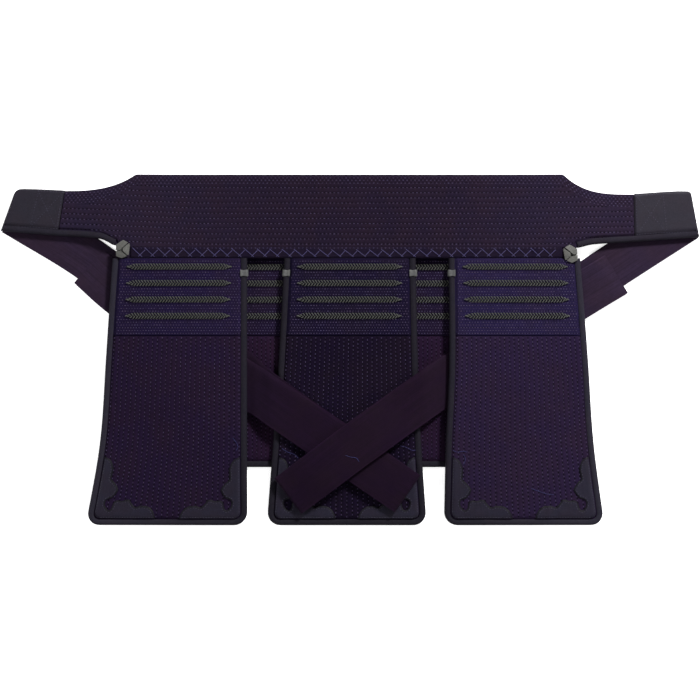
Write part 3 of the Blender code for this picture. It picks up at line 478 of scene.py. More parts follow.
# outward below is painted light on the band, bindings and straps: paler towards the sides
finishes = {
    "band": makeCloth("waistbandCloth", (0.0075, 0.0042, 0.0122), (0.0081, 0.0037, 0.0103), patch=0.026,
                      pits=0.22, squeeze=1.3, outward=(1.42, 1.66, 1.50)),
    "strip": makeCloth("stripCloth", (0.0050, 0.0028, 0.0105), (0.0058, 0.0028, 0.0090), patch=0.018),
    # painted shade and light: the three large flaps are copies of one cloth, darkest in the centre and
    # palest on the right
    "left": makeCloth("flapClothLeft", (0.0077, 0.0034, 0.0155), (0.0082, 0.0031, 0.0124), patch=0.034,
                      pits=0.27, squeeze=1.35, upper=upperTint),
    "centre": makeCloth("flapClothCentrePaintedShade", (0.0033, 0.0012, 0.0079), (0.0036, 0.0011, 0.0063), patch=0.034,
                        pits=0.27, squeeze=1.35, upper=(1.1, 1.6, 1.6)),
    "right": makeCloth("flapClothRightPaintedLight", (0.0106, 0.0055, 0.0206), (0.0110, 0.0050, 0.0166), patch=0.034,
                       pits=0.27, squeeze=1.35, upper=upperTint),
    "small": makeCloth("smallFlapCloth", (0.0096, 0.0034, 0.0146), (0.0102, 0.0031, 0.0120), patch=0.034,
                       pits=0.25, squeeze=1.35, upper=(0.7, 1.0, 1.05)),
    "binding": makeCloth("bindingCloth", (0.0067, 0.0059, 0.0098), (0.0070, 0.0056, 0.0094), patch=0.02,
                         weavePitch=0.0007, twill=1.0, rough=(0.6, 0.78), weaveDepth=0.00012,
                         outward=(2.0, 2.1, 2.0)),
    "strap": makeCloth("strapCloth", (0.0058, 0.0018, 0.0080), (0.0058, 0.0016, 0.0067), patch=0.034,
                       rub=0.12, weavePitch=0.0009, twill=1.0, weaveDepth=0.00015, webbing=0.05,
                       outward=(2.5, 4.8, 2.5)),
    "cap": makeLeather("capLeather", (0.0118, 0.0102, 0.0165), (0.0122, 0.0096, 0.0155), specular=0.12),
    "wingFold": makeLeather("wingBindingLeather", (0.0116, 0.0103, 0.0158), (0.0119, 0.0098, 0.0149),
                            rough=(0.75, 0.9), specular=0.05),
    "patch": makeLeather("patchLeather", (0.0092, 0.0080, 0.0168), (0.0096, 0.0072, 0.0148), grain=0.0009,
                         specular=0.12, rim=True),
    "rosette": makeLeather("rosetteLeather", (0.064, 0.064, 0.060), (0.078, 0.077, 0.072), grain=0.0008,
                           specular=0.12),
    "tab": makeLeather("tabLeather", (0.058, 0.059, 0.060), (0.072, 0.072, 0.070), grain=0.0008,
                       specular=0.15),
    "hole": makeLeather("holeShade", (0.002, 0.002, 0.003), (0.002, 0.002, 0.003), specular=0.02),
    "stitch": makeThread("quiltingThread", (0.050, 0.040, 0.088), (0.056, 0.038, 0.076), size=0.012),
    "blueThread": makeThread("blueThread", (0.058, 0.050, 0.130), (0.064, 0.054, 0.120), size=0.012),
    "looseThread": makeThread("looseThread", (0.024, 0.024, 0.085), (0.030, 0.028, 0.075), size=0.012),
    "capThread": makeThread("capThread", (0.034, 0.031, 0.050), (0.040, 0.036, 0.056), size=0.01),
    "cord": makeThread("cordThread", (0.040, 0.041, 0.038), (0.050, 0.051, 0.047), size=0.004, depth=0.06),
}
print("finishes made")


# Geometry Nodes trees

def finishTree(tree, start, end, made):
    plain = addNode(tree, "GeometryNodeRealizeInstances", {0: made.outputs[0]})
    done = addNode(tree, "GeometryNodeSetMaterial", {
        0: plain.outputs[0], "Material": start.outputs["Material"],
    })
    tree.links.new(done.outputs[0], end.inputs[0])
    return tree


# One short stitch at each point of the rows, turned along its row
def makeStitchTree():
    tree, start, end = newGroup(
        "stitchRows", "GeometryNodeTree",
        [("Geometry", "NodeSocketGeometry", None), ("Length", "NodeSocketFloat", 0.002),
         ("Width", "NodeSocketFloat", 0.0008), ("Height", "NodeSocketFloat", 0.0006),
         ("Unevenness", "NodeSocketFloat", 0.2), ("Seed", "NodeSocketInt", 1),
         ("Material", "NodeSocketMaterial", None)],
        [("Geometry", "NodeSocketGeometry")],
    )
    rows = addNode(tree, "GeometryNodeMeshToCurve", {0: start.outputs["Geometry"]})
    stitch = addNode(tree, "GeometryNodeMeshUVSphere", {"Segments": 6, "Rings": 3, "Radius": 0.5})
    turn = addNode(tree, "FunctionNodeAlignRotationToVector", {
        "Vector": addNode(tree, "GeometryNodeInputTangent").outputs[0],
    }, axis="X")
    size = addNode(tree, "ShaderNodeCombineXYZ", {
        0: start.outputs["Length"], 1: start.outputs["Width"], 2: start.outputs["Height"],
    })
    uneven = start.outputs["Unevenness"]
    change = addNode(tree, "FunctionNodeRandomValue", {"Seed": start.outputs["Seed"]}, data_type="FLOAT")
    for socket in change.inputs:
        if socket.name in ("Min", "Max") and socket.type == "VALUE":
            value = calc(tree, "SUBTRACT" if socket.name == "Min" else "ADD", 1.0, uneven)
            tree.links.new(value, socket)
    change = next(socket for socket in change.outputs if socket.type == "VALUE" and socket.enabled)
    scaled = addNode(tree, "ShaderNodeVectorMath", {0: size.outputs[0], "Scale": change}, operation="SCALE")
    placed = addNode(tree, "GeometryNodeInstanceOnPoints", {
        "Points": rows.outputs[0], "Instance": stitch.outputs[0], "Rotation": turn.outputs[0],
        "Scale": scaled.outputs[0],
    })
    return finishTree(tree, start, end, placed)


# A round thread along each path
def makeThreadTree():
    tree, start, end = newGroup(
        "threadAlongPath", "GeometryNodeTree",
        [("Geometry", "NodeSocketGeometry", None), ("Radius", "NodeSocketFloat", 0.0004),
         ("Sides", "NodeSocketInt", 5), ("Material", "NodeSocketMaterial", None)],
        [("Geometry", "NodeSocketGeometry")],
    )
    path = addNode(tree, "GeometryNodeMeshToCurve", {0: start.outputs["Geometry"]})
    ring = addNode(tree, "GeometryNodeCurvePrimitiveCircle", {
        "Resolution": start.outputs["Sides"], "Radius": start.outputs["Radius"],
    })
    body = addNode(tree, "GeometryNodeCurveToMesh", {
        "Curve": path.outputs[0], "Profile Curve": ring.outputs[0], "Fill Caps": True,
    })
    return finishTree(tree, start, end, body)


# A flat plait laid along a line that runs in X, with its strands drawn together at both ends
def makeBraidTree():
    tree, start, end = newGroup(
        "flatBraid", "GeometryNodeTree",
        [("Geometry", "NodeSocketGeometry", None), ("Strands", "NodeSocketInt", 3),
         ("Wave Length", "NodeSocketFloat", 0.0098), ("Width", "NodeSocketFloat", 0.0064),
         ("Height", "NodeSocketFloat", 0.0014), ("Radius", "NodeSocketFloat", 0.00052),
         ("Point", "NodeSocketFloat", 0.009), ("Step", "NodeSocketFloat", 0.0007),
         ("Material", "NodeSocketMaterial", None)],
        [("Geometry", "NodeSocketGeometry")],
    )
    line = addNode(tree, "GeometryNodeMeshToCurve", {0: start.outputs["Geometry"]})
    spine = addNode(tree, "GeometryNodeResampleCurve", {
        "Curve": line.outputs[0], "Length": start.outputs["Step"],
    }, mode="LENGTH")
    copies = addNode(tree, "GeometryNodeDuplicateElements", {
        "Geometry": spine.outputs[0], "Amount": start.outputs["Strands"],
    }, domain="SPLINE")
    travel = addNode(tree, "GeometryNodeSplineParameter").outputs["Length"]
    total = addNode(tree, "GeometryNodeSplineLength").outputs[0]
    phase = calc(tree, "ADD", calc(tree, "DIVIDE", travel, start.outputs["Wave Length"]),
                 calc(tree, "DIVIDE", copies.outputs["Duplicate Index"], start.outputs["Strands"]))
    angle = calc(tree, "MULTIPLY", phase, math.tau)
    nearEnd = calc(tree, "MINIMUM", travel, calc(tree, "SUBTRACT", total, travel))
    draw = rangeOf(tree, nearEnd, 0.0, start.outputs["Point"], 0.12, 1.0, "SMOOTHSTEP")
    aside = calc(tree, "MULTIPLY", calc(tree, "MULTIPLY", calc(tree, "COSINE", angle), draw),
                 calc(tree, "MULTIPLY", start.outputs["Width"], 0.5))
    lift = calc(tree, "MULTIPLY", calc(tree, "SINE", calc(tree, "MULTIPLY", angle, 2.0)),
                calc(tree, "MULTIPLY", start.outputs["Height"], 0.5))
    half = calc(tree, "MULTIPLY", start.outputs["Height"], 0.5)
    # the strand's height share, which the cord's material turns into painted shade and light
    level = rangeOf(tree, lift, calc(tree, "MULTIPLY", half, -1.0), half)
    kept = addNode(tree, "GeometryNodeStoreNamedAttribute", {
        "Geometry": copies.outputs[0], "Name": "height", "Value": level,
    }, data_type="FLOAT", domain="POINT")
    moved = addNode(tree, "GeometryNodeSetPosition", {
        "Geometry": kept.outputs[0],
        "Offset": addNode(tree, "ShaderNodeCombineXYZ", {1: aside, 2: lift}).outputs[0],
    })
    ring = addNode(tree, "GeometryNodeCurvePrimitiveCircle", {
        "Resolution": 6, "Radius": start.outputs["Radius"],
    })
    body = addNode(tree, "GeometryNodeCurveToMesh", {
        "Curve": moved.outputs[0], "Profile Curve": ring.outputs[0], "Fill Caps": True,
    })
    return finishTree(tree, start, end, body)


# A folded strip along an edge: the profile's +X points out of the edge
def makeBindingTree():
    tree, start, end = newGroup(
        "foldedBinding", "GeometryNodeTree",
        [("Geometry", "NodeSocketGeometry", None), ("Profile", "NodeSocketObject", None),
         ("Material", "NodeSocketMaterial", None)],
        [("Geometry", "NodeSocketGeometry")],
    )
    path = addNode(tree, "GeometryNodeMeshToCurve", {0: start.outputs["Geometry"]})
    level = addNode(tree, "GeometryNodeSetCurveNormal", {0: path.outputs[0]}, mode="Z_UP")
    shape = addNode(tree, "GeometryNodeObjectInfo", {"Object": start.outputs["Profile"]})
    loop = addNode(tree, "GeometryNodeMeshToCurve", {0: shape.outputs["Geometry"]})
    body = addNode(tree, "GeometryNodeCurveToMesh", {
        "Curve": level.outputs[0], "Profile Curve": loop.outputs[0], "Fill Caps": True,
    })
    return finishTree(tree, start, end, body)


stitchTree, threadTree = makeStitchTree(), makeThreadTree()
braidTree, bindingTree = makeBraidTree(), makeBindingTree()


def joinRows(rows):
    places = [place for row in rows for place in row]
    edges, start = [], 0
    for row in rows:
        edges += [(start + i, start + i + 1) for i in range(len(row) - 1)]
        start += len(row)
    return places, edges


# Sizes of a stitch: length, width, height
stitchSizes = {
    "quilting": (0.0018, 0.00068, 0.0006), "small": (0.00144, 0.000544, 0.0006),
    "upper": (0.0016, 0.00072, 0.0006), "banded": (0.0017, 0.0008, 0.0007),
    "band": (0.0019, 0.00072, 0.0006), "cap": (0.0016, 0.0007, 0.0006), "patch": (0.0018, 0.0007, 0.0006),
}


def sewRows(name, rows, kind, material, seed=1, uneven=0.22):
    length, width, height = stitchSizes[kind]
    places, edges = joinRows([row for row in rows if len(row) > 1])
    piece = growPiece(name, stitchTree, places, edges, {
        "Length": length, "Width": width, "Height": height, "Unevenness": uneven, "Seed": seed,
        "Material": material,
    })
    return piece


def layThreads(name, rows, radius, material, sides=5):
    places, edges = joinRows(rows)
    piece = growPiece(name, threadTree, places, edges, {
        "Radius": radius, "Sides": sides, "Material": material,
    }, fixNormals=True)
    return piece


# Search tree of a finished piece, and the height of its face at a place
def surfaceOf(piece):
    mesh = piece.data
    return BVHTree.FromPolygons([vertex.co for vertex in mesh.vertices],
                                [face.vertices[:] for face in mesh.polygons])


def surfaceZ(tree, x, y, missed=0.0):
    hit = tree.ray_cast(Vector((x, y, 1.0)), Vector((0, 0, -1)))[0]
    return hit.z if hit else missed


def dropOnto(tree, rows, above):
    return [[(x, y, surfaceZ(tree, x, y, z) + above) for x, y, z in row] for row in rows]


# Closed body between two equal grids, with the UV map counted in stitches
def makeSlab(name, top, bottom, material, uv=None, angle=40):
    rows, columns = len(top), len(top[0])
    points = [point for row in top for point in row] + [point for row in bottom for point in row]
    under = rows * columns
    faces, cells = [], []
    for i in range(rows - 1):
        for j in range(columns - 1):
            a = i * columns + j
            b, c, d = a + 1, a + 1 + columns, a + columns
            faces += [(a, b, c, d), (under + d, under + c, under + b, under + a)]
            cells += [(i, j), (i, j)]
    rim = list(range(columns)) + [i * columns + columns - 1 for i in range(1, rows)]
    rim += [(rows - 1) * columns + j for j in range(columns - 2, -1, -1)]
    rim += [i * columns for i in range(rows - 2, 0, -1)]
    for k, here in enumerate(rim):
        after = rim[(k + 1) % len(rim)]
        faces.append((here, under + here, under + after, after))
        cells.append(None)
    mesh = bpy.data.meshes.new(name)
    mesh.from_pydata([tuple(point) for point in points], [], faces)
    if uv:
        layer = mesh.uv_layers.new(name="UVMap")
        for face, cell in zip(mesh.polygons, cells):
            for loop in face.loop_indices:
                index = mesh.loops[loop].vertex_index % under
                layer.data[loop].uv = uv(index // columns, index % columns, cell)
    return makePiece(name, mesh, material, angle)


# Flaps. Insets: columns of the mesh across the edge, where the binding's groove lies.
# Under the binding the pad starts further in, and its stitches keep clear of it.
flapForm = {
    "large": {"edge": 0.007, "crown": 0.0005, "wall": 0.0010, "quilt": 0.0005, "cells": 4, "rows": 116},
    "small": {"edge": 0.0044, "crown": 0.0002, "wall": 0.0008, "quilt": 0.0003, "cells": 3, "rows": 76},
    "columnPitch": 0.0061, "stitchPitch": 0.0045, "upperPitch": 0.0031, "bandRows": 4,
    "insets": (0.0, 0.0030, 0.0060, 0.0070, 0.0078), "rowInset": 0.0088, "tuck": 0.0025,
    "underBinding": 0.0026, "panelInset": 0.0095, "stitchClear": 0.0082, "slant": 0.5,
}


def makeFlapPlan(name, axis, width, length, edges, form, lift):
    return {"name": name, "axis": axis, "width": width, "length": length, "edges": edges,
            "form": form, "lift": lift, "bottom": plan["seamY"] - length, "corner": plan["corner"]}


def sideX(flap, y, column):
    share = (plan["seamY"] - y) / flap["length"]
    return flap["axis"] + flap["width"] * rowValue(flap["edges"], share, column)


# Place at an inset from one side and a rise from the bottom edge, drawn in to the round corner
def cornerPlace(flap, side, inset, up):
    corner = flap["corner"]
    if inset < corner and up < corner:
        across, along = corner - inset, corner - up
        scale = max(across, along) / math.hypot(across, along)
        inset, up = corner - across * scale, corner - along * scale
    y = flap["bottom"] + up
    return sideX(flap, y, side) + (inset if side == 1 else -inset), y


# Distance in from the flap's outline, its round corners included
def insetOf(flap, x, y):
    left, right = x - sideX(flap, y, 1), sideX(flap, y, 2) - x
    up, corner = y - flap["bottom"], flap["corner"]
    side = min(left, right)
    if side < corner and up < corner:
        return corner - math.hypot(corner - side, corner - up)
    return min(side, up)


# Height of the pad's face: flat field, groove inside the binding, dips along the stitch rows
def padHeight(flap, x, y, inset, count):
    form = flap["form"]
    base = flap["lift"](x, y)
    full = form["edge"] + form["crown"]
    low = form["edge"] - form["wall"] - 0.0008
    face = mix(low, full, smooth((inset - 0.0068) / 0.0034))
    fromSeam = plan["seamY"] - y
    face -= 0.0016 * math.exp(-(fromSeam / 0.0012) ** 2)
    quilt = form["quilt"] * smooth((inset - 0.008) / 0.004)
    if y < plan["panelSeam"]:
        phase = stitchColumn(flap, x, y, count)
        face -= quilt * (1 - abs(math.sin(math.pi * phase)) ** 0.8)
        swell = noise.noise(Vector((phase * 0.9, y * 90, 3.0)))
        face += quilt * 0.35 * swell
    else:
        face += quilt * 0.25 * noise.noise(Vector((x * 260, y * 260, 8.0)))
    face -= (quilt + 0.0014) * math.exp(-((y - plan["panelSeam"]) / 0.0008) ** 2)
    face += 0.0004 * noise.noise(Vector((x * 28, y * 28, flap["axis"] * 9)))
    return base + face


# The flap's sides at one height, drawn in
def fieldSides(flap, y, inset):
    return sideX(flap, y, 1) + inset, sideX(flap, y, 2) - inset


def stitchColumn(flap, x, y, count):
    low, high = fieldSides(flap, y, flapForm["rowInset"])
    return (x - low) / (high - low) * count


def makeFlap(flap, material):
    form = flap["form"]
    small = form is flapForm["small"]
    seam = plan["seamY"] - 0.0003 - flap["bottom"] + (flapForm["tuck"] if small else 0.0)
    count = round(flap["width"] * 1.08 / flapForm["columnPitch"])
    insets = list(flapForm["insets"])
    breakUp = plan["panelSeam"] - flap["bottom"]
    ups = insets[:]
    rowInset, least = flapForm["rowInset"], flapForm["underBinding"]
    lower, upper = int(form["rows"] * 0.7), int(form["rows"] * 0.3)
    ups += [mix(rowInset, breakUp - 0.0016, i / lower) for i in range(lower + 1)]
    ups += [breakUp - 0.0007, breakUp, breakUp + 0.0007]
    ups += [mix(breakUp + 0.0016, seam - 0.0024, i / upper) for i in range(upper + 1)]
    ups += [seam - 0.0014, seam - 0.0006, seam]
    top, bottom, places = [], [], []
    for up in ups:
        level = flap["bottom"] + up
        width = sideX(flap, level, 2) - sideX(flap, level, 1)
        cells = form["cells"] * count
        across = [(1, inset) for inset in insets]
        across += [(1 if j * 2 < cells else 2, mix(rowInset, width / 2, min(j, cells - j) * 2 / cells))
                   for j in range(cells + 1)]
        across += [(2, inset) for inset in reversed(insets)]
        row = [(*cornerPlace(flap, side, max(inset, least), max(up, least)), min(inset, up))
               for side, inset in across]
        places.append(row)
        top.append([Vector((x, y, padHeight(flap, x, y, inset, count))) for x, y, inset in row])
        under = []
        for x, y, inset in row:
            tuck = (form["wall"] + 0.0006) * (1 - smooth((inset - 0.0060) / 0.002))
            under.append(Vector((x, y, flap["lift"](x, y) + tuck)))
        bottom.append(under)

    def stitchUv(i, j, cell):
        x, y, _ = places[i][j]
        lowY = places[cell[0]][cell[1]][1] if cell else y
        if lowY < plan["panelSeam"] - 0.0001:
            return stitchColumn(flap, x, y, count), y / flapForm["stitchPitch"]
        pitch = flapForm["upperPitch"]
        return y / pitch + 400, (x - y * flapForm["slant"]) / pitch

    piece = makeSlab(flap["name"] + "_pad", top, bottom, material, stitchUv)
    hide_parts(flap["name"])

    surface = surfaceOf(piece)
    flap["surface"] = surface
    rows, pitch = [], flapForm["stitchPitch"]
    first = math.ceil((flap["bottom"] + flapForm["panelInset"]) / pitch)
    last = int((plan["panelSeam"] - 0.0015) / pitch)
    for column in range(count + 1):
        row = []
        for number in range(first, last + 1):
            y = (number - 0.5 * (column % 2)) * pitch
            x = mix(*fieldSides(flap, y, rowInset), column / count)
            if insetOf(flap, x, y) > flapForm["stitchClear"]:
                row.append((x, y, 0.0))
        rows.append(row)
    sewRows(flap["name"] + "_stitches", dropOnto(surface, rows, 0.00012), "small" if small else "quilting",
            finishes["stitch"], seed=int(abs(flap["axis"]) * 1000) + 1)
    rows, pitch = [], flapForm["upperPitch"]
    number = math.ceil((plan["panelSeam"] + 0.002) / pitch)
    while number * pitch < plan["seamY"] - 0.003:
        y = number * pitch
        shift = y * flapForm["slant"]
        low, high = fieldSides(flap, y, flapForm["panelInset"])
        columns = range(math.ceil((low - shift) / pitch), int((high - shift) / pitch) + 1)
        rows.append([(k * pitch + shift, y, 0.0) for k in columns])
        number += 1
    rows = dropOnto(surface, rows, 0.0001)
    banded = flapForm["bandRows"]
    sewRows(flap["name"] + "_band_stitches", rows[:banded], "banded", finishes["stitch"])
    sewRows(flap["name"] + "_panel_stitches", rows[banded:], "upper", finishes["stitch"],
            seed=7, uneven=0.4)
    return count


def flapPath(flap, inset):
    places = []
    top, corner = plan["seamY"] - 0.0003, flap["corner"]
    steps, turns = 60, 9
    levels = [mix(top, flap["bottom"] + corner, i / steps) for i in range(steps + 1)]
    places += [(sideX(flap, y, 1) + inset, y) for y in levels]
    radius = corner - inset
    for side in (1, 2):
        for k in range(1, turns):
            angle = math.radians(90 * (k / turns if side == 1 else 1 - k / turns))
            y = flap["bottom"] + corner - radius * math.sin(angle)
            reach = corner - radius * math.cos(angle)
            x = sideX(flap, y, side)
            places.append((x + reach if side == 1 else x - reach, y))
        if side == 1:
            ends = [cornerPlace(flap, 1, corner, inset)[0], cornerPlace(flap, 2, corner, inset)[0]]
            places += [(mix(*ends, i / 30), flap["bottom"] + inset) for i in range(31)]
    return places + [(sideX(flap, y, 2) - inset, y) for y in reversed(levels)]


# Folded strip's section: x out of the edge, y downwards, crowned on both faces, seen along the path
def bindingProfile(half, reach, wall):
    outer = min(half * 0.85, 0.0030)
    lip = min(0.0008, half * 0.3)
    points = [(-reach, half - lip), (-reach * 0.82, half - lip * 0.35), (-reach * 0.62, half)]
    for k in range(7):
        turn = math.radians(90 - 30 * k)
        level = (half - outer) * ((turn > 0.01) - (turn < -0.01))
        points.append((-outer + math.cos(turn) * outer, level + outer * math.sin(turn)))
    points += [(-reach * 0.62, -half), (-reach * 0.82, -half + lip * 0.35), (-reach, -half + lip)]
    inner = [(-reach, half - lip - wall * 0.7), (-outer, half - wall), (-wall, half - wall - outer * 0.6)]
    return points + [(x, -y) for x, y in inner] + inner[::-1]


def makeBinding(name, path, half, lift, wall, finish="binding"):
    places = [(x, y, lift(x, y) + half) for x, y in path]
    edges = [(i, i + 1) for i in range(len(places) - 1)]
    points = bindingProfile(half, plan["bindingWidth"], wall)
    mesh = bpy.data.meshes.new(name + "_profile")
    loop = [(i, (i + 1) % len(points)) for i in range(len(points))]
    mesh.from_pydata([(x, y, 0) for x, y in points], loop, [])
    profile = bpy.data.objects.new(name + "_profile", mesh)
    bpy.context.collection.objects.link(profile)
    piece = growPiece(name + "_fold", bindingTree, places, edges, {
        "Profile": profile, "Material": finishes[finish],
    }, fixNormals=True)
    bpy.data.objects.remove(profile)
    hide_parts(name)


braidForm = {"count": 4, "width": 0.0063, "height": 0.0014, "lift": 0.0013, "end": 0.0008, "steps": 24}


def makeBraids(flap, prefix, count):
    for number in range(braidForm["count"]):
        node = f"{prefix}_{number + 1}"
        low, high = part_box(node)
        y = (low[1] + high[1]) / 2
        places, steps = [], braidForm["steps"]
        for i in range(steps + 1):
            x = mix(low[0] + braidForm["end"], high[0] - braidForm["end"], i / steps)
            places.append((x, y, padHeight(flap, x, y, 0.05, count) + braidForm["lift"]))
        piece = growPiece(node + "_braid", braidTree, places, [(i, i + 1) for i in range(steps)], {
            "Width": braidForm["width"], "Height": braidForm["height"], "Material": finishes["cord"],
        }, fixNormals=True)
        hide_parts(node)


largeFlaps, smallFlaps = {}, {}
for side in ("left", "centre", "right"):
    nodes = ["flap_" + side, "flap_binding_" + side]
    largeFlaps[side] = makeFlapPlan(
        "flap_" + side, plan["pitch"] * largeAxes[side], plan["largeWidth"], plan["largeLength"],
        largeEdges[side], flapForm["large"], heightField(nodes, True))
for side in ("left", "right"):
    smallFlaps[side] = makeFlapPlan(
        "small_flap_" + side, plan["pitch"] * smallAxes[side], plan["smallWidth"], plan["smallLength"],
        smallEdges, flapForm["small"], lambda x, y: 0.0)
counts = {}
for side, flap in {**largeFlaps, **{"small_" + key: flap for key, flap in smallFlaps.items()}}.items():
    small = side.startswith("small")
    counts[side] = makeFlap(flap, finishes["small" if small else side])
    where = side[6:] if small else side
    node = ("small_binding_" if small else "flap_binding_") + where
    makeBinding(node, flapPath(flap, 0.0), flap["form"]["edge"] / 2, flap["lift"], flap["form"]["wall"])
    makeBraids(flap, ("small_cord_" if small else "cord_") + where, counts[side])
print("flaps, bindings and braids made")


# Waistband
bandForm = {
    "underBinding": 0.0026, "thickness": 0.015, "wingTop": 0.0104, "rim": 0.0036, "quilt": 0.0005,
    "stripWidth": 0.0124, "rows": 98, "columns": 270,
    "rowsPerStitch": 6, "firstStitch": 16,          # mesh rows from stitch to stitch, and up to the first
    "stitchPitch": 0.0044, "aboveBinding": 0.0086,
    "topRows": ((0.0044, 0.0029), (0.0069, 0.0055), (0.0102, 0.0081)),     # below the top: middle, wings
    "wingRows": (0.0107, 0.0134), "topClear": (0.0126, 0.0160),
    "rise": {"left": (0.16, 0.042), "right": (0.19, 0.022)},               # start and slope of the rows
}
bandPitch = plan["bandHeight"] * bandForm["rowsPerStitch"] / bandForm["rows"]
bandFirst = plan["bandHeight"] * bandForm["firstStitch"] / bandForm["rows"]


def rootX(side):
    return abs(sideX(largeFlaps[side], plan["seamY"], 1 if side == "left" else 2)) - 0.0013


def bandY(share):
    return plan["seamY"] + plan["bandHeight"] * share


def bandTopY(side, x):
    wing = wings[side]
    start, end = rootX(side) - wing["shoulder"], rootX(side) + wing["length"]
    share = min(max((abs(x) - start) / (end - start), 0.0), 1.0)
    return bandY(mix(wing["seamTop"], 1.0, (1 - share) ** wing["hollow"]))


def bandLowY(side, x):
    wing = wings[side]
    share = (abs(x) - rootX(side)) / wing["length"]
    if share < -0.18:
        return plan["seamY"]
    rows = ((0.0, wing["rootLow"]), (0.25, wing["bendLow"]), (1.0, wing["seamLow"]))
    low = bandY(rowValue(rows, share, 1))
    return mix(plan["seamY"], low, smooth((share + 0.16) / 0.10))


bandUnder = heightField(["waistband", "wing_binding_left", "wing_binding_right"], True)


def bandThick(side, x):
    share = (abs(x) - rootX(side)) / wings[side]["length"]
    return mix(bandForm["thickness"], bandForm["wingTop"], smooth(share))


def wingShare(side, x):
    return smooth((abs(x) - rootX(side) + 0.03) / (wings[side]["length"] + 0.02))


# Height of the lowest stitch row: level in the middle, rising a little in the wings
def firstRowY(side, x):
    start, slope = bandForm["rise"][side]
    over = max(abs(x) - start, 0.0)
    return plan["seamY"] + bandFirst + slope * over * over / (over + 0.02)


def topRows(side, x):
    share = wingShare(side, x)
    rows = [mix(middle, wing, share) for middle, wing in bandForm["topRows"]]
    return rows + (list(bandForm["wingRows"]) if share > 0.5 else []), mix(*bandForm["topClear"], share)


# The band's upper and under face at a place
def bandFace(side, x, y):
    low, high = y - bandLowY(side, x), bandTopY(side, x) - y
    face = bandThick(side, x)
    bottom = bandUnder(x, min(max(y, bandLowY(side, x) + 0.004), bandTopY(side, x) - 0.006))
    half = (face - bottom) / 2
    if high < bandForm["rim"]:
        turn = 1 - max(high, 0.0) / bandForm["rim"]
        face = bottom + half + half * 0.98 * math.sqrt(max(1 - turn * turn, 0.0))
    if abs(x) < rootX(side) - 0.013:
        strip = plan["seamY"] + bandForm["stripWidth"]
        face -= 0.0013 * (1 - smooth((y - strip + 0.0016) / 0.0012))
    else:
        face -= 0.0018 * (1 - smooth((low - 0.0066) / 0.0034))
    rows, clear = topRows(side, x)
    if high > clear:
        phase = (y - firstRowY(side, x)) / bandPitch
        if phase > -0.5:
            face -= bandForm["quilt"] * (1 - abs(math.sin(math.pi * phase)) ** 0.8)
            face += bandForm["quilt"] * 0.3 * noise.noise(Vector((x * 90, phase * 0.9, 5.0)))
    else:
        near = min(abs(high - row) for row in rows)
        face -= bandForm["quilt"] * 0.8 * smooth(high / 0.003) * math.exp(-(near / 0.0008) ** 2)
    fromSeam = wings[side]["length"] + rootX(side) + wings[side]["seamTilt"] - abs(x)
    face -= 0.0012 * math.exp(-(max(fromSeam, 0.0) / 0.002) ** 2)
    return face + 0.0004 * noise.noise(Vector((x * 25, y * 25, 1.0))), bottom


# Lean of the wing towards its seam with the cap
def wingLean(side, x, share):
    wing = wings[side]
    out = max((abs(x) - rootX(side)) / wing["length"], 0.0)
    return wing["sign"] * wing["seamTilt"] * out * (1 - share)


def makeWaistband():
    left = -(rootX("left") + wings["left"]["length"])
    right = rootX("right") + wings["right"]["length"]
    top, bottom, places = [], [], []
    for i in range(bandForm["rows"] + 1):
        share = i / bandForm["rows"]
        rowTop, rowBottom, row = [], [], []
        for j in range(bandForm["columns"] + 1):
            x = mix(left, right, j / bandForm["columns"])
            side = "left" if x < 0 else "right"
            inWing = abs(x) > rootX(side)
            low = bandLowY(side, x) + (bandForm["underBinding"] if inWing else 0.0)
            high = bandTopY(side, x)
            y = mix(low, high, share)
            face, under = bandFace(side, x, y)
            lean = wingLean(side, x, share)
            turn = 1 - min((high - y) / bandForm["rim"], 1.0)
            under += (face - under) * 0.45 * turn * turn
            if low > plan["seamY"] + 0.001:
                under += 0.0016 * (1 - smooth((y - low - 0.003) / 0.002))
            rowTop.append(Vector((x + lean, y, face)))
            rowBottom.append(Vector((x + lean, y, min(under, face - 0.001))))
            row.append((x, y, side))
        top.append(rowTop)
        bottom.append(rowBottom)
        places.append(row)

    def stitchUv(i, j, cell):
        x, y, side = places[i][j]
        cellX, cellY, cellSide = places[cell[0]][cell[1]] if cell else places[i][j]
        along = x / bandForm["stitchPitch"]
        if bandTopY(cellSide, cellX) - cellY > topRows(cellSide, cellX)[1]:
            return (y - firstRowY(side, x)) / bandPitch, along
        return 60 - (bandTopY(side, x) - y - topRows(side, x)[0][0]) / 0.0027, along

    piece = makeSlab("waistband_pad", top, bottom, finishes["band"], stitchUv)
    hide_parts("waistband")

    pitch = bandForm["stitchPitch"]
    steps = range(int(left / pitch), int(right / pitch) + 1)

    def sewn(odd, rowY):
        row = []
        for k in steps:
            x = (k - 0.5 * odd) * pitch
            side = "left" if x < 0 else "right"
            if left + 0.002 < x < right - 0.002:
                y = rowY(side, x)
                if y:
                    low, high = bandLowY(side, x), bandTopY(side, x)
                    row.append((x + wingLean(side, x, (y - low) / (high - low)), y, 0.0))
        return splitRow(row, 3 * pitch)

    def lowerRow(number):
        def rowY(side, x):
            y = firstRowY(side, x) + number * bandPitch
            clear = y > bandLowY(side, x) + bandForm["aboveBinding"]
            return y if clear and bandTopY(side, x) - y > topRows(side, x)[1] + 0.0004 else None
        return rowY

    def upperRow(number):
        def rowY(side, x):
            rows = topRows(side, x)[0]
            return bandTopY(side, x) - rows[number] if number < len(rows) else None
        return rowY

    rows = [run for number in range(14) for run in sewn(number % 2, lowerRow(number))]
    rows += [run for number in range(5) for run in sewn(number % 2, upperRow(number))]
    rows = dropOnto(surfaceOf(piece), rows, 0.0001)
    sewRows("waistband_stitches", rows, "band", finishes["stitch"], seed=3)


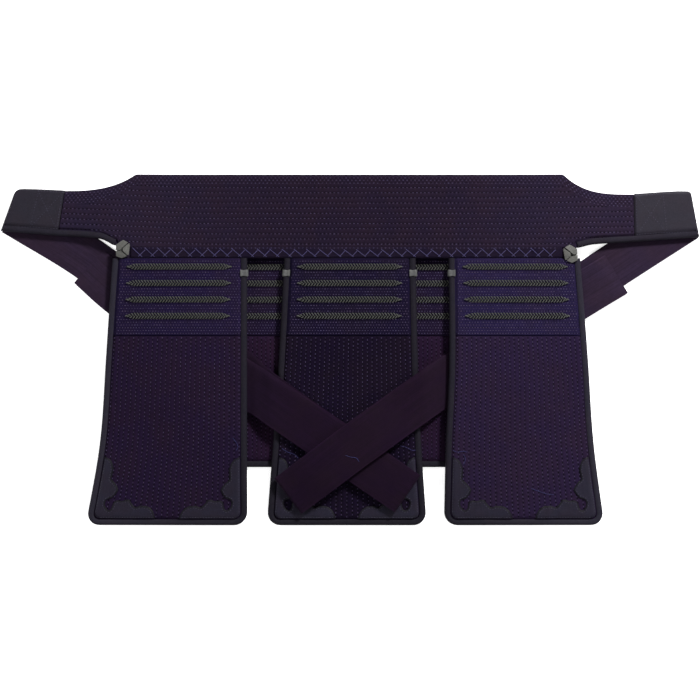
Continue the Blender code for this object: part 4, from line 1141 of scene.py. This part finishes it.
# Cuts a row of places wherever it jumps
def splitRow(row, reach):
    runs, run = [], []
    for place in row:
        if run and math.dist(run[-1], place) > reach:
            runs.append(run)
            run = []
        run.append(place)
    return [part for part in runs + [run] if len(part) > 1]


makeWaistband()
print("waistband made")


# End caps of leather over the padding
capForm = {"rim": 0.0030, "taper": 0.0015, "lip": 0.0006, "wrap": 0.945}


def capPlace(side, share, across):
    wing = wings[side]
    x = rootX(side) + wing["length"] + 0.0003 + (wing["capLength"] - 0.0006) * share
    tilt = mix(wing["seamTilt"], wing["endTilt"], share)
    lowY = bandY(mix(wing["seamLow"], wing["endLow"], share))
    lowY += bandForm["underBinding"] * (1 - smooth((share - capForm["wrap"]) / 0.03)) + 0.0002
    topY = bandY(mix(wing["seamTop"], wing["endTop"], min(share / 0.8, 1.0)))
    topY += capForm["lip"] * smooth(share / 0.03) * (1 - smooth((share - 0.5) / 0.5))
    fromEnd = (1 - share) * wing["capLength"]
    if fromEnd < wing["corner"]:
        turn = wing["corner"] - fromEnd
        topY -= wing["corner"] - math.sqrt(wing["corner"] ** 2 - turn ** 2)
    lowX, highX = x + wing["seamTilt"], x + wing["seamTilt"] - tilt
    return wing["sign"] * mix(lowX, highX, across), mix(lowY, topY, across), topY - lowY


def capHeights(side, share, across):
    wing = wings[side]
    x, y, tall = capPlace(side, share, across)
    bottom = 0.003
    top = bandForm["wingTop"] - capForm["taper"] * share
    half = (top - bottom) / 2
    fromTop, fromEnd = (1 - across) * tall, (1 - share) * wing["capLength"]
    wrapped = smooth((share - capForm["wrap"]) / 0.03)
    edge = min(fromTop, fromEnd, across * tall if wrapped > 0.5 else 1.0)
    if edge < capForm["rim"]:
        turn = 1 - edge / capForm["rim"]
        curve = math.sqrt(max(1 - turn * turn, 0.0))
        middle = bottom + half
        return middle + half * max(curve, 0.04), middle - half * max(curve, 0.04)
    overBinding = across * tall + bandForm["underBinding"] - 0.0066
    face = top - 0.0018 * (1 - smooth(overBinding / 0.003)) * (1 - wrapped)
    fromSeam = share * wing["capLength"]
    face -= 0.0016 * (1 - smooth(fromSeam / 0.0016)) - 0.0003 * math.exp(-((fromSeam - 0.004) / 0.002) ** 2)
    tuck = 0.0016 * (1 - smooth((across * tall - 0.003) / 0.002)) * (1 - wrapped)
    face += 0.0003 * noise.noise(Vector((x * 45, y * 45, 2.0)))
    return face, bottom + tuck


def makeCap(side):
    shares = [0, 0.006, 0.014, 0.024, 0.04] + [mix(0.06, 0.93, i / 30) for i in range(31)]
    shares += [0.945, 0.958, 0.97, 0.98, 0.988, 0.994, 1.0]
    acrossShares = [0.0, 0.006, 0.014, 0.024, 0.036] + [mix(0.05, 0.90, i / 24) for i in range(25)]
    acrossShares += [0.93, 0.955, 0.972, 0.985, 0.994, 1.0]
    if side == "left":
        shares = shares[::-1]
    top, bottom = [], []
    for across in acrossShares:
        rowTop, rowBottom = [], []
        for share in shares:
            x, y, _ = capPlace(side, share, across)
            high, low = capHeights(side, share, across)
            rowTop.append(Vector((x, y, high)))
            rowBottom.append(Vector((x, y, low)))
        top.append(rowTop)
        bottom.append(rowBottom)
    piece = makeSlab("end_cap_" + side + "_leather", top, bottom, finishes["cap"])
    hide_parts("end_cap_" + side)

    # box sewn beside the seam with a cross in it, and a row above the binding
    def dots(start, end):
        places = [capPlace(side, *corner)[:2] for corner in (start, end)]
        count = max(int(math.dist(*places) / 0.0030), 2)
        row = []
        for i in range(count + 1):
            x, y, _ = capPlace(side, mix(start[0], end[0], i / count), mix(start[1], end[1], i / count))
            row.append((x, y, 0.0))
        return row

    box = ((0.04, 0.10), (0.04, 0.95), (0.50, 0.95), (0.50, 0.10))
    rows = [dots(box[i], box[(i + 1) % 4]) for i in range(4)] + [dots(box[0], box[2]), dots(box[1], box[3])]
    rows += [dots((0.54, 0.09), (0.80, 0.08))]
    rows = dropOnto(surfaceOf(piece), rows, 0.00008)
    sewRows("end_cap_" + side + "_stitches", rows, "cap", finishes["capThread"])


def makeWingBinding(side):
    wing = wings[side]
    lift = heightField(["wing_binding_" + side], True, passes=1)
    path = []
    for i in range(25):
        share = mix(capForm["wrap"] + 0.012, 0.0, i / 24)
        x, _, _ = capPlace(side, share, 0.0)
        path.append((x, bandY(mix(wing["seamLow"], wing["endLow"], share))))
    for i in range(1, 24):
        x = rootX(side) + wing["length"] * mix(1.0, -0.03, i / 23)
        out = (x - rootX(side)) / wing["length"]
        path.append((wing["sign"] * (x + wing["seamTilt"] * max(out, 0.0)), bandLowY(side, x)))
    if side == "right":
        path.reverse()
    makeBinding("wing_binding_" + side, path, 0.0035, lift, 0.001, "wingFold")


for side in ("left", "right"):
    makeCap(side)
    makeWingBinding(side)
print("caps made")


# Cloth strip over the seam, with its herringbone sewing
stripForm = {
    "crown": 0.0006, "crossPitch": 0.0139, "radius": 0.00030, "rowUp": 0.0109, "low": 0.0014,
    "tall": (0.0078, 0.0098), "crossing": (0.0088, 0.0064),                      # middle, ends
}


def makeStrip():
    low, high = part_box("seam_strip")
    rows, columns = 12, 240
    top, bottom = [], []
    for i in range(rows + 1):
        y = mix(low[1], high[1], i / rows)
        edge = min(i, rows - i) / rows
        rowTop, rowBottom = [], []
        for j in range(columns + 1):
            x = mix(low[0], high[0], j / columns)
            crown = stripForm["crown"] * (smooth(edge * 5) - (edge == 0))
            ripple = 0.00025 * noise.noise(Vector((x * 150, y * 150, 4.0)))
            rowTop.append(Vector((x, y, high[2] + crown + ripple - 0.0003)))
            rowBottom.append(Vector((x, y, low[2])))
        top.append(rowTop)
        bottom.append(rowBottom)
    piece = makeSlab("seam_strip_cloth", top, bottom, finishes["strip"])
    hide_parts("seam_strip")

    face = high[2] + 0.0004
    threads = []
    random.seed(5)

    def stroke(start, end, lift):
        shift = random.uniform(-0.0003, 0.0003)
        line = []
        for i in range(7):
            share = i / 6
            arch = math.sin(math.pi * share) ** 0.4 if 0 < share < 1 else -0.8
            line.append((mix(start[0], end[0], share) + shift, mix(start[1], end[1], share),
                         face + stripForm["radius"] * arch + lift * math.sin(math.pi * share)))
        return line

    x = low[0] + 0.0015
    y = plan["seamY"]
    while x < high[0] - 0.014:
        share = smooth(abs(x) / 0.22)
        base, tall = y + stripForm["low"], mix(*stripForm["tall"], share)
        crossing = x + mix(*stripForm["crossing"], share)
        threads.append(stroke((x, base + tall), (x + 0.0108, base - 0.0004), 0.0003))
        threads.append(stroke((crossing, base), (x + 0.0143, base + tall * 0.76), 0.0))
        x += stripForm["crossPitch"]
    layThreads("seam_strip_herringbone", threads, stripForm["radius"], finishes["blueThread"])
    pitch = bandForm["stitchPitch"]
    row = [(k * pitch, y + stripForm["rowUp"], 0.0)
           for k in range(math.ceil(low[0] / pitch) + 1, int(high[0] / pitch))]
    sewRows("seam_strip_stitches", dropOnto(surfaceOf(piece), [row], 0.0001), "band", finishes["stitch"],
            seed=4)


makeStrip()


# Straps
strapForm = {"width": 0.050, "thickness": 0.0024, "inset": 0.0008, "columns": 20,
             "steps": 130, "gap": 0.0007, "hem": 0.0040}


def strapEnds(side):
    wing, strap = wings[side], straps[side]
    reach = rootX(side) + wing["length"] + wing["seamTilt"] + wing["capLength"]
    outer = Vector((wing["sign"] * reach, bandY(wing["endLow"])))
    centre = largeFlaps["centre"]
    end = Vector((centre["axis"] + strap["endAcross"] * plan["largeWidth"],
                  centre["bottom"] + 0.0013 + strap["endUp"] * plan["largeLength"]))
    way = (end - outer).normalized()
    up = Vector((-way.y, way.x)) * -wing["sign"]
    return outer + way * strapForm["inset"] + up * (strapForm["width"] / 2), end


# Middle of a pass and its way across, at a share of the way to the fold
def strapPlace(side, rows, share):
    start, end = strapEnds(side)
    way = end - start
    up = Vector((-way.y, way.x)).normalized() * -straps[side]["sign"]

    def centre(t):
        return start + way * t + up * (rowValue(rows, t, 1) * strapForm["width"])

    tangent = (centre(min(share + 0.01, 1)) - centre(max(share - 0.01, rows[0][0]))).normalized()
    square = Vector((-tangent.y, tangent.x)) * -straps[side]["sign"]
    upright = smooth((share - 0.24) / 0.08) * smooth((0.96 - share) / 0.08)
    middle = centre(share)
    middle += tangent * ((start.x + way.x * share - middle.x) / tangent.x * upright)
    across = square.lerp(Vector((0, 1)), upright)
    return middle, across / across.dot(square), tangent


def makeStrap(side):
    strap, columns = straps[side], strapForm["columns"]
    node = "strap_" + side
    under = heightField([node], True, step=0.003, passes=1)
    over = heightField([node], False, step=0.003, passes=1)
    thick, gap, width = strapForm["thickness"], strapForm["gap"], strapForm["width"]
    stations = []
    travel = 0.0
    steps = strapForm["steps"]

    def line(middle, across):
        return [middle + across * (width * (k / columns - 0.5)) for k in range(columns + 1)]

    last = None
    for i in range(steps + 1):
        middle, across, _ = strapPlace(side, strap["first"], i / steps)
        travel += (middle - last).length if last else 0.0
        last = middle
        row = []
        for k, place in enumerate(line(middle, across)):
            edge = min(k, columns - k) * width / columns
            soft = 0.0004 * (1 - smooth(edge / 0.003))
            z = under(place.x, place.y)
            row.append((Vector((*place, z + soft)), Vector((*place, z + thick - soft))))
        stations.append((travel, row))
    middle, across, tangent = strapPlace(side, strap["first"], 1.0)
    radius = (thick + gap) / 2
    for angle in (-60, -30, 0, 30, 60):
        turn = math.radians(angle)
        row = []
        for place in line(middle, across):
            level = under(place.x, place.y) + thick / 2 + radius
            pair = []
            for reach in (radius + thick / 2, radius - thick / 2):
                out = tangent * (reach * math.cos(turn))
                pair.append(Vector((place.x + out.x, place.y + out.y, level + reach * math.sin(turn))))
            row.append(tuple(pair))
        travel += radius * math.radians(30)
        stations.append((travel, row))
    endShare = strap["second"][0][0]
    last = middle
    for i in range(steps + 1):
        share = mix(1.0, endShare, i / steps)
        middle, across, _ = strapPlace(side, strap["second"], share)
        travel += (middle - last).length
        last = middle
        row = []
        toEnd = (strapPlace(side, strap["second"], endShare)[0] - middle).length
        hem = 0.0005 * smooth((strapForm["hem"] + 0.0006 - toEnd) / 0.0012)
        for k, place in enumerate(line(middle, across)):
            edge = min(k, columns - k) * width / columns
            soft = 0.0004 * (1 - smooth(edge / 0.003))
            z = over(place.x, place.y) if i > 2 else under(place.x, place.y) + 2 * thick + gap
            row.append((Vector((*place, z - soft + hem)), Vector((*place, z - thick + soft))))
        stations.append((travel, row))

    travels = [travel for travel, _ in stations]
    outer = [[pair[0] for pair in row] for _, row in stations]
    inner = [[pair[1] for pair in row] for _, row in stations]
    if strap["sign"] > 0:
        top, bottom = inner, outer
    else:
        top, bottom = outer, inner

    def stripUv(i, j, cell):
        return j / columns * width, travels[i]

    piece = makeSlab(node + "_webbing", top, bottom, finishes["strap"], stripUv)
    turnOutwards(piece.data)
    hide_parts(node)
    return surfaceOf(piece)


strapSurfaces = [makeStrap(side) for side in ("left", "right")]
print("straps made")


# Leather patches on the flaps' bottom corners
patchForm = {
    "size": 0.077, "edge": 0.0078, "thickness": 0.0009, "cell": 0.0024,
    "stitchInset": 0.0024, "stitchPitch": 0.0030, "straightFrom": 0.016,
}


def roundLine(points, steps=6):
    result = []
    for i in range(len(points) - 1):
        before, start = points[max(i - 1, 0)], points[i]
        end, after = points[i + 1], points[min(i + 2, len(points) - 1)]
        for k in range(steps):
            t = k / steps
            result.append(tuple(
                b + 0.5 * t * (c - a + t * (2 * a - 5 * b + 4 * c - d + t * (3 * b - a - 3 * c + d)))
                for a, b, c, d in zip(before, start, end, after)))
    return result + [points[-1]]


def insetLine(points, inset, closed=False):
    result, last = [], len(points) - 1
    for i, (x, y) in enumerate(points):
        before = points[i - 1 if closed else max(i - 1, 0)]
        after = points[(i + 1) % (last + 1) if closed else min(i + 1, last)]
        dx, dy = after[0] - before[0], after[1] - before[1]
        size = math.hypot(dx, dy) or 1.0
        result.append((x + dy / size * inset, y - dx / size * inset))
    return result


def makePatch(name, flap, side, count):
    size, edge = patchForm["size"], patchForm["edge"]
    shape = [(across * size, up * size) for across, up in patchOutline]
    shape = [(edge, size)] + shape + [(size, edge)]
    curve = roundLine(shape)
    loop = curve + [(mix(size, edge, i / 30), edge) for i in range(1, 31)]
    loop += [(edge, mix(edge, size, i / 30)) for i in range(1, 30)]
    loop = loop[::-1]
    paintedEdgeShade = [1.0 if index >= len(loop) - len(curve) else 0.0 for index in range(len(loop))]
    inner, cell = [], patchForm["cell"]
    steps = int(size / cell)
    rimInner = insetLine(loop, -0.0007, closed=True)
    for i in range(steps):
        for j in range(steps):
            place = (edge + cell * (i + 0.5), edge + cell * (j + 0.5))
            if insideLoop(place, rimInner) and loopDistance(place, loop) > 0.0014:
                inner.append(place)
    points = [Vector(place) for place in loop + rimInner + inner]
    number = len(loop)
    sides = [(i, (i + 1) % number) for i in range(number)]
    triangles = geometry.delaunay_2d_cdt(points, sides, [], 1, 1e-7)[2]
    vertices = []
    for above in (patchForm["thickness"], 0.0):
        for index, place in enumerate(points):
            x, y = cornerPlace(flap, side, place.x, place.y)
            z = padHeight(flap, x, y, min(place.x, place.y), count)
            rim = index < number
            vertices.append((x, y, z + 0.0003 + above * (0.45 if rim and above else 1.0)))
    total = len(points)
    faces = [tuple(face) for face in triangles if max(face) < total]
    if side == 2:
        faces = [tuple(reversed(face)) for face in faces]
    borders = {(here, face[(k + 1) % len(face)]): True for face in faces for k, here in enumerate(face)}
    closed = list(faces) + [tuple(total + corner for corner in reversed(face)) for face in faces]
    for here, after in borders:
        if (after, here) not in borders:
            closed.append((here, total + here, total + after, after))
    mesh = bpy.data.meshes.new(name)
    mesh.from_pydata(vertices, [], closed)
    turnOutwards(mesh)
    # the curved edge and the ring just inside it carry the painted edge shade
    rim = mesh.attributes.new("rim", "FLOAT", "POINT")
    shares = paintedEdgeShade + [0.75 * share for share in paintedEdgeShade] + [0.0] * len(inner)
    rim.data.foreach_set("value", shares + shares)
    piece = makePiece(name + "_leather", mesh, finishes["patch"], 50)
    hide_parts(name)

    scrolled = evenPlaces(insetLine(curve, patchForm["stitchInset"])[4:-4], patchForm["stitchPitch"])
    straight = [(mix(patchForm["straightFrom"], 0.95 * size, i / 20), edge + 0.0014) for i in range(21)]
    straight = evenPlaces(straight, patchForm["stitchPitch"])
    lines = scrolled, straight, [(y, x) for x, y in straight]
    rows = [[(*cornerPlace(flap, side, *place), 0.0) for place in line] for line in lines]
    rows = dropOnto(surfaceOf(piece), rows, 0.0001)
    sewRows(name + "_stitches", rows, "patch", finishes["capThread"])


def insideLoop(place, loop):
    inside = False
    x, y = place
    for (ax, ay), (bx, by) in zip(loop, loop[1:] + loop[:1]):
        if (ay > y) != (by > y) and x < (bx - ax) * (y - ay) / (by - ay) + ax:
            inside = not inside
    return inside


def loopDistance(place, loop):
    return min(math.dist(place, other) for other in loop)


def evenPlaces(points, pitch):
    result, carried = [points[0]], 0.0
    for start, end in zip(points, points[1:]):
        length = math.dist(start, end)
        while carried + length >= pitch:
            share = (pitch - carried) / length
            start = tuple(mix(a, b, share) for a, b in zip(start, end))
            result.append(start)
            length = math.dist(start, end)
            carried = 0.0
        carried += length
    return result


for side, flap in largeFlaps.items():
    makePatch(f"corner_patch_{side}_a", flap, 1, counts[side])
    makePatch(f"corner_patch_{side}_b", flap, 2, counts[side])
print("patches made")


# Tabs folded over the bindings' tops
tabForm = {"length": 0.0073, "reach": 0.0074, "thickness": 0.0009, "corner": 0.0016, "down": 0.0045}


def makeTab(name, flap, side):
    low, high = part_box(name)
    middleY = (low[1] + high[1]) / 2
    half = flap["form"]["edge"] / 2
    outward = -1 if side == 1 else 1
    thick, corner = tabForm["thickness"], tabForm["corner"]
    turns = [(-tabForm["reach"] + 0.0072 * k / 8, 0.0, 0.0) for k in range(8)]
    for angle in (math.radians(15 * k) for k in range(7)):
        turns.append((0.0003 - corner + corner * math.sin(angle), corner * (1 - math.cos(angle)), angle))
    turns += [(0.0003, corner + tabForm["down"] * k / 4, math.pi / 2) for k in range(1, 5)]
    top, bottom = [], []
    for i in range(17):
        along = i / 16 - 0.5
        rowTop, rowBottom = [], []
        for out, down, angle in turns:
            hollow = math.exp(-((out + 0.0040) / 0.0016) ** 2) * (angle < 0.1)
            y = middleY + tabForm["length"] * along * (1 - 0.14 * hollow)
            x = sideX(flap, y, side) + outward * out
            z = flap["lift"](x, y) + 2 * half + 0.0003 - down
            ends = min(abs(abs(along) - 0.5) * tabForm["length"], 0.001) / 0.001
            lift = thick * (0.6 + 0.4 * ends) * (1 - 0.65 * hollow)
            rowBottom.append(Vector((x, y, z)))
            rowTop.append(Vector((x + outward * lift * math.sin(angle), y, z + lift * math.cos(angle))))
        if side == 1:
            rowTop.reverse()
            rowBottom.reverse()
        top.append(rowTop)
        bottom.append(rowBottom)
    piece = makeSlab(name + "_leather", top, bottom, finishes["tab"])
    turnOutwards(piece.data)
    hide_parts(name)


for name, flap, side in (("left", "left", 2), ("centre_a", "centre", 1), ("centre_b", "centre", 2),
                         ("right", "right", 1)):
    makeTab("tab_" + name, largeFlaps[flap], side)


# Rosettes: three folded strips that lock round a three-cornered hole, in millimetres from the hole.
# The last two numbers of a corner are the heights of its under and upper face.
rosetteStrips = (
    ((-6.3, 6.1, 0.4, 2.4), (-6.5, -0.2, 0.4, 2.2), (-2.1, -0.2, 0.6, 3.6), (7.2, 8.4, 0.6, 3.7),
     (1.4, 11.3, 0.4, 2.0)),
    ((1.1, 2.2, 0.4, 2.7), (8.4, 7.9, 0.4, 2.3), (9.0, 5.0, 0.4, 1.8), (7.7, -5.4, 0.4, 1.8),
     (6.6, -5.9, 0.4, 2.3), (1.3, -1.3, 0.6, 3.4)),
    ((-6.6, -0.9, 0.4, 1.9), (-2.4, -1.6, 0.4, 2.5), (0.3, -2.3, 0.6, 3.0), (5.8, -6.8, 0.6, 2.9),
     (0.0, -9.3, 0.4, 1.6), (-6.5, -6.8, 0.4, 1.6)),
)
rosetteForm = {"bevel": 0.0005, "lower": 0.0010, "turn": {"left": 0, "right": 4}}


def makeRosette(side):
    node = "rosette_" + side
    low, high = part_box(node)
    centre = Vector(((low[0] + high[0]) / 2, (low[1] + high[1]) / 2 - rosetteForm["lower"]))
    mirror = 1 if side == "left" else -1
    spin = Matrix.Rotation(math.radians(rosetteForm["turn"][side]), 2)
    body = bmesh.new()
    for strip in rosetteStrips:
        rings = []
        for level in (2, 3):
            ring = []
            for corner in strip:
                place = spin @ Vector((corner[0] * mirror, corner[1])) / 1000 + centre
                ring.append(body.verts.new((place.x, place.y, low[2] + corner[level] / 1000)))
            rings.append(ring)
        lower, upper = rings
        body.faces.new(lower[::-1])
        body.faces.new(upper)
        for k, corner in enumerate(lower):
            after = (k + 1) % len(lower)
            body.faces.new((corner, lower[after], upper[after], upper[k]))
    bmesh.ops.recalc_face_normals(body, faces=body.faces)
    bmesh.ops.bevel(body, geom=list(body.edges), offset=rosetteForm["bevel"], segments=3, profile=0.6,
                    affect="EDGES")
    bmesh.ops.recalc_face_normals(body, faces=body.faces)
    # dark floor of the hole: a near-black sheet standing in for the shade inside the hole
    floor = [body.verts.new((centre.x + mirror * 0.0008 + 0.0066 * math.cos(k * math.pi / 4),
                             centre.y + 0.0006 + 0.0086 * math.sin(k * math.pi / 4), low[2] + up))
             for up in (0.0003, 0.0008) for k in range(8)]
    body.faces.new(floor[7::-1]).material_index = 1
    body.faces.new(floor[8:]).material_index = 1
    for k in range(8):
        after = (k + 1) % 8
        body.faces.new((floor[k], floor[after], floor[8 + after], floor[8 + k])).material_index = 1
    mesh = bpy.data.meshes.new(node)
    body.to_mesh(mesh)
    body.free()
    piece = makePiece(node + "_knot", mesh, finishes["rosette"], 60)
    mesh.materials.append(finishes["hole"])
    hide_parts(node)


for side in ("left", "right"):
    makeRosette(side)


# Loose ends of blue thread on the cloth: flap, then the places of each end in metres
looseThreads = (
    ("left", ((-0.131, -0.098), (-0.127, -0.103), (-0.125, -0.108), (-0.127, -0.112))),
    ("right", ((0.115, -0.112), (0.120, -0.114), (0.126, -0.113), (0.131, -0.114))),
    ("right", ((0.127, -0.117), (0.129, -0.122), (0.127, -0.128))),
    ("right", ((0.203, -0.155), (0.211, -0.158), (0.220, -0.161), (0.228, -0.162))),
    ("centre", ((-0.076, -0.110), (-0.070, -0.114), (-0.062, -0.117), (-0.058, -0.121))),
    ("centre", ((0.056, -0.107), (0.063, -0.109), (0.069, -0.112), (0.074, -0.112))),
    ("centre", ((-0.005, -0.117), (0.001, -0.119), (0.007, -0.120), (0.010, -0.124))),
)


def makeLooseThreads():
    rows = []
    for side, places in looseThreads:
        trees = strapSurfaces + [largeFlaps[side]["surface"]]
        rows.append([(x, y, max(surfaceZ(tree, x, y) for tree in trees) + 0.0003)
                     for x, y in roundLine([tuple(place) for place in places], 5)])
    layThreads("loose_threads", rows, 0.00026, finishes["looseThread"])


makeLooseThreads()
print("trimmings made")


# Floor, light and camera
stageForm = {
    "lens": 100.0, "frameWidth": 0.784, "level": 0.009,                          # millimetres, metres
    "sky": 0.24, "floor": 0.9, "floorGlow": 0.72, "reach": 12.0,
    "lamps": {                                     # place, size, power
        "key": ((1.0, 1.5, 1.35), 0.40, 95.0),
        "rightSide": ((1.6, -0.3, 0.85), 0.8, 7.0),
        "leftSide": ((-1.6, 0.2, 0.85), 0.8, 13.0),
        "lowSide": ((0.1, -1.7, 1.1), 0.8, 9.0),
    },
}


def makeStage():
    mesh = bpy.data.meshes.new("floor")
    reach = stageForm["reach"]
    corners = [(-reach, -reach, 0), (reach, -reach, 0), (reach, reach, 0), (-reach, reach, 0)]
    mesh.from_pydata(corners, [], [(0, 1, 2, 3)])
    floor = bpy.data.objects.new("floor", mesh)
    bpy.context.collection.objects.link(floor)
    material, tree, shader = newMaterial("paleFloor", 0.1)
    shader.inputs["Base Color"].default_value = (*[stageForm["floor"]] * 3, 1)
    shader.inputs["Roughness"].default_value = 0.9
    shader.inputs["Emission Color"].default_value = (1, 1, 1, 1)
    shader.inputs["Emission Strength"].default_value = stageForm["floorGlow"]
    mesh.materials.append(material)
    floor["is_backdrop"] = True

    world = bpy.data.worlds.new("studio")
    bpy.context.scene.world = world
    world.use_nodes = True
    background = world.node_tree.nodes["Background"]
    background.inputs["Color"].default_value = (1, 1, 1, 1)
    background.inputs["Strength"].default_value = stageForm["sky"]
    for name, (place, size, power) in stageForm["lamps"].items():
        data = bpy.data.lights.new(name, "AREA")
        data.shape = "DISK"
        data.size, data.energy = size, power
        lamp = bpy.data.objects.new(name, data)
        lamp.location = place
        lamp.rotation_euler = (-Vector(place)).to_track_quat("-Z", "Y").to_euler()
        bpy.context.collection.objects.link(lamp)

    data = bpy.data.cameras.new("camera")
    data.lens, data.clip_end = stageForm["lens"], 20
    camera = bpy.data.objects.new("camera", data)
    away = stageForm["frameWidth"] * stageForm["lens"] / data.sensor_width
    camera.location = (0, 0, stageForm["level"] + away)
    bpy.context.collection.objects.link(camera)
    bpy.context.scene.camera = camera
    bpy.context.scene.view_settings.view_transform = "Standard"


makeStage()
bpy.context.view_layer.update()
triangles = sum(len(face.vertices) - 2 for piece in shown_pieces() for face in piece.data.polygons)
print("triangles", triangles)
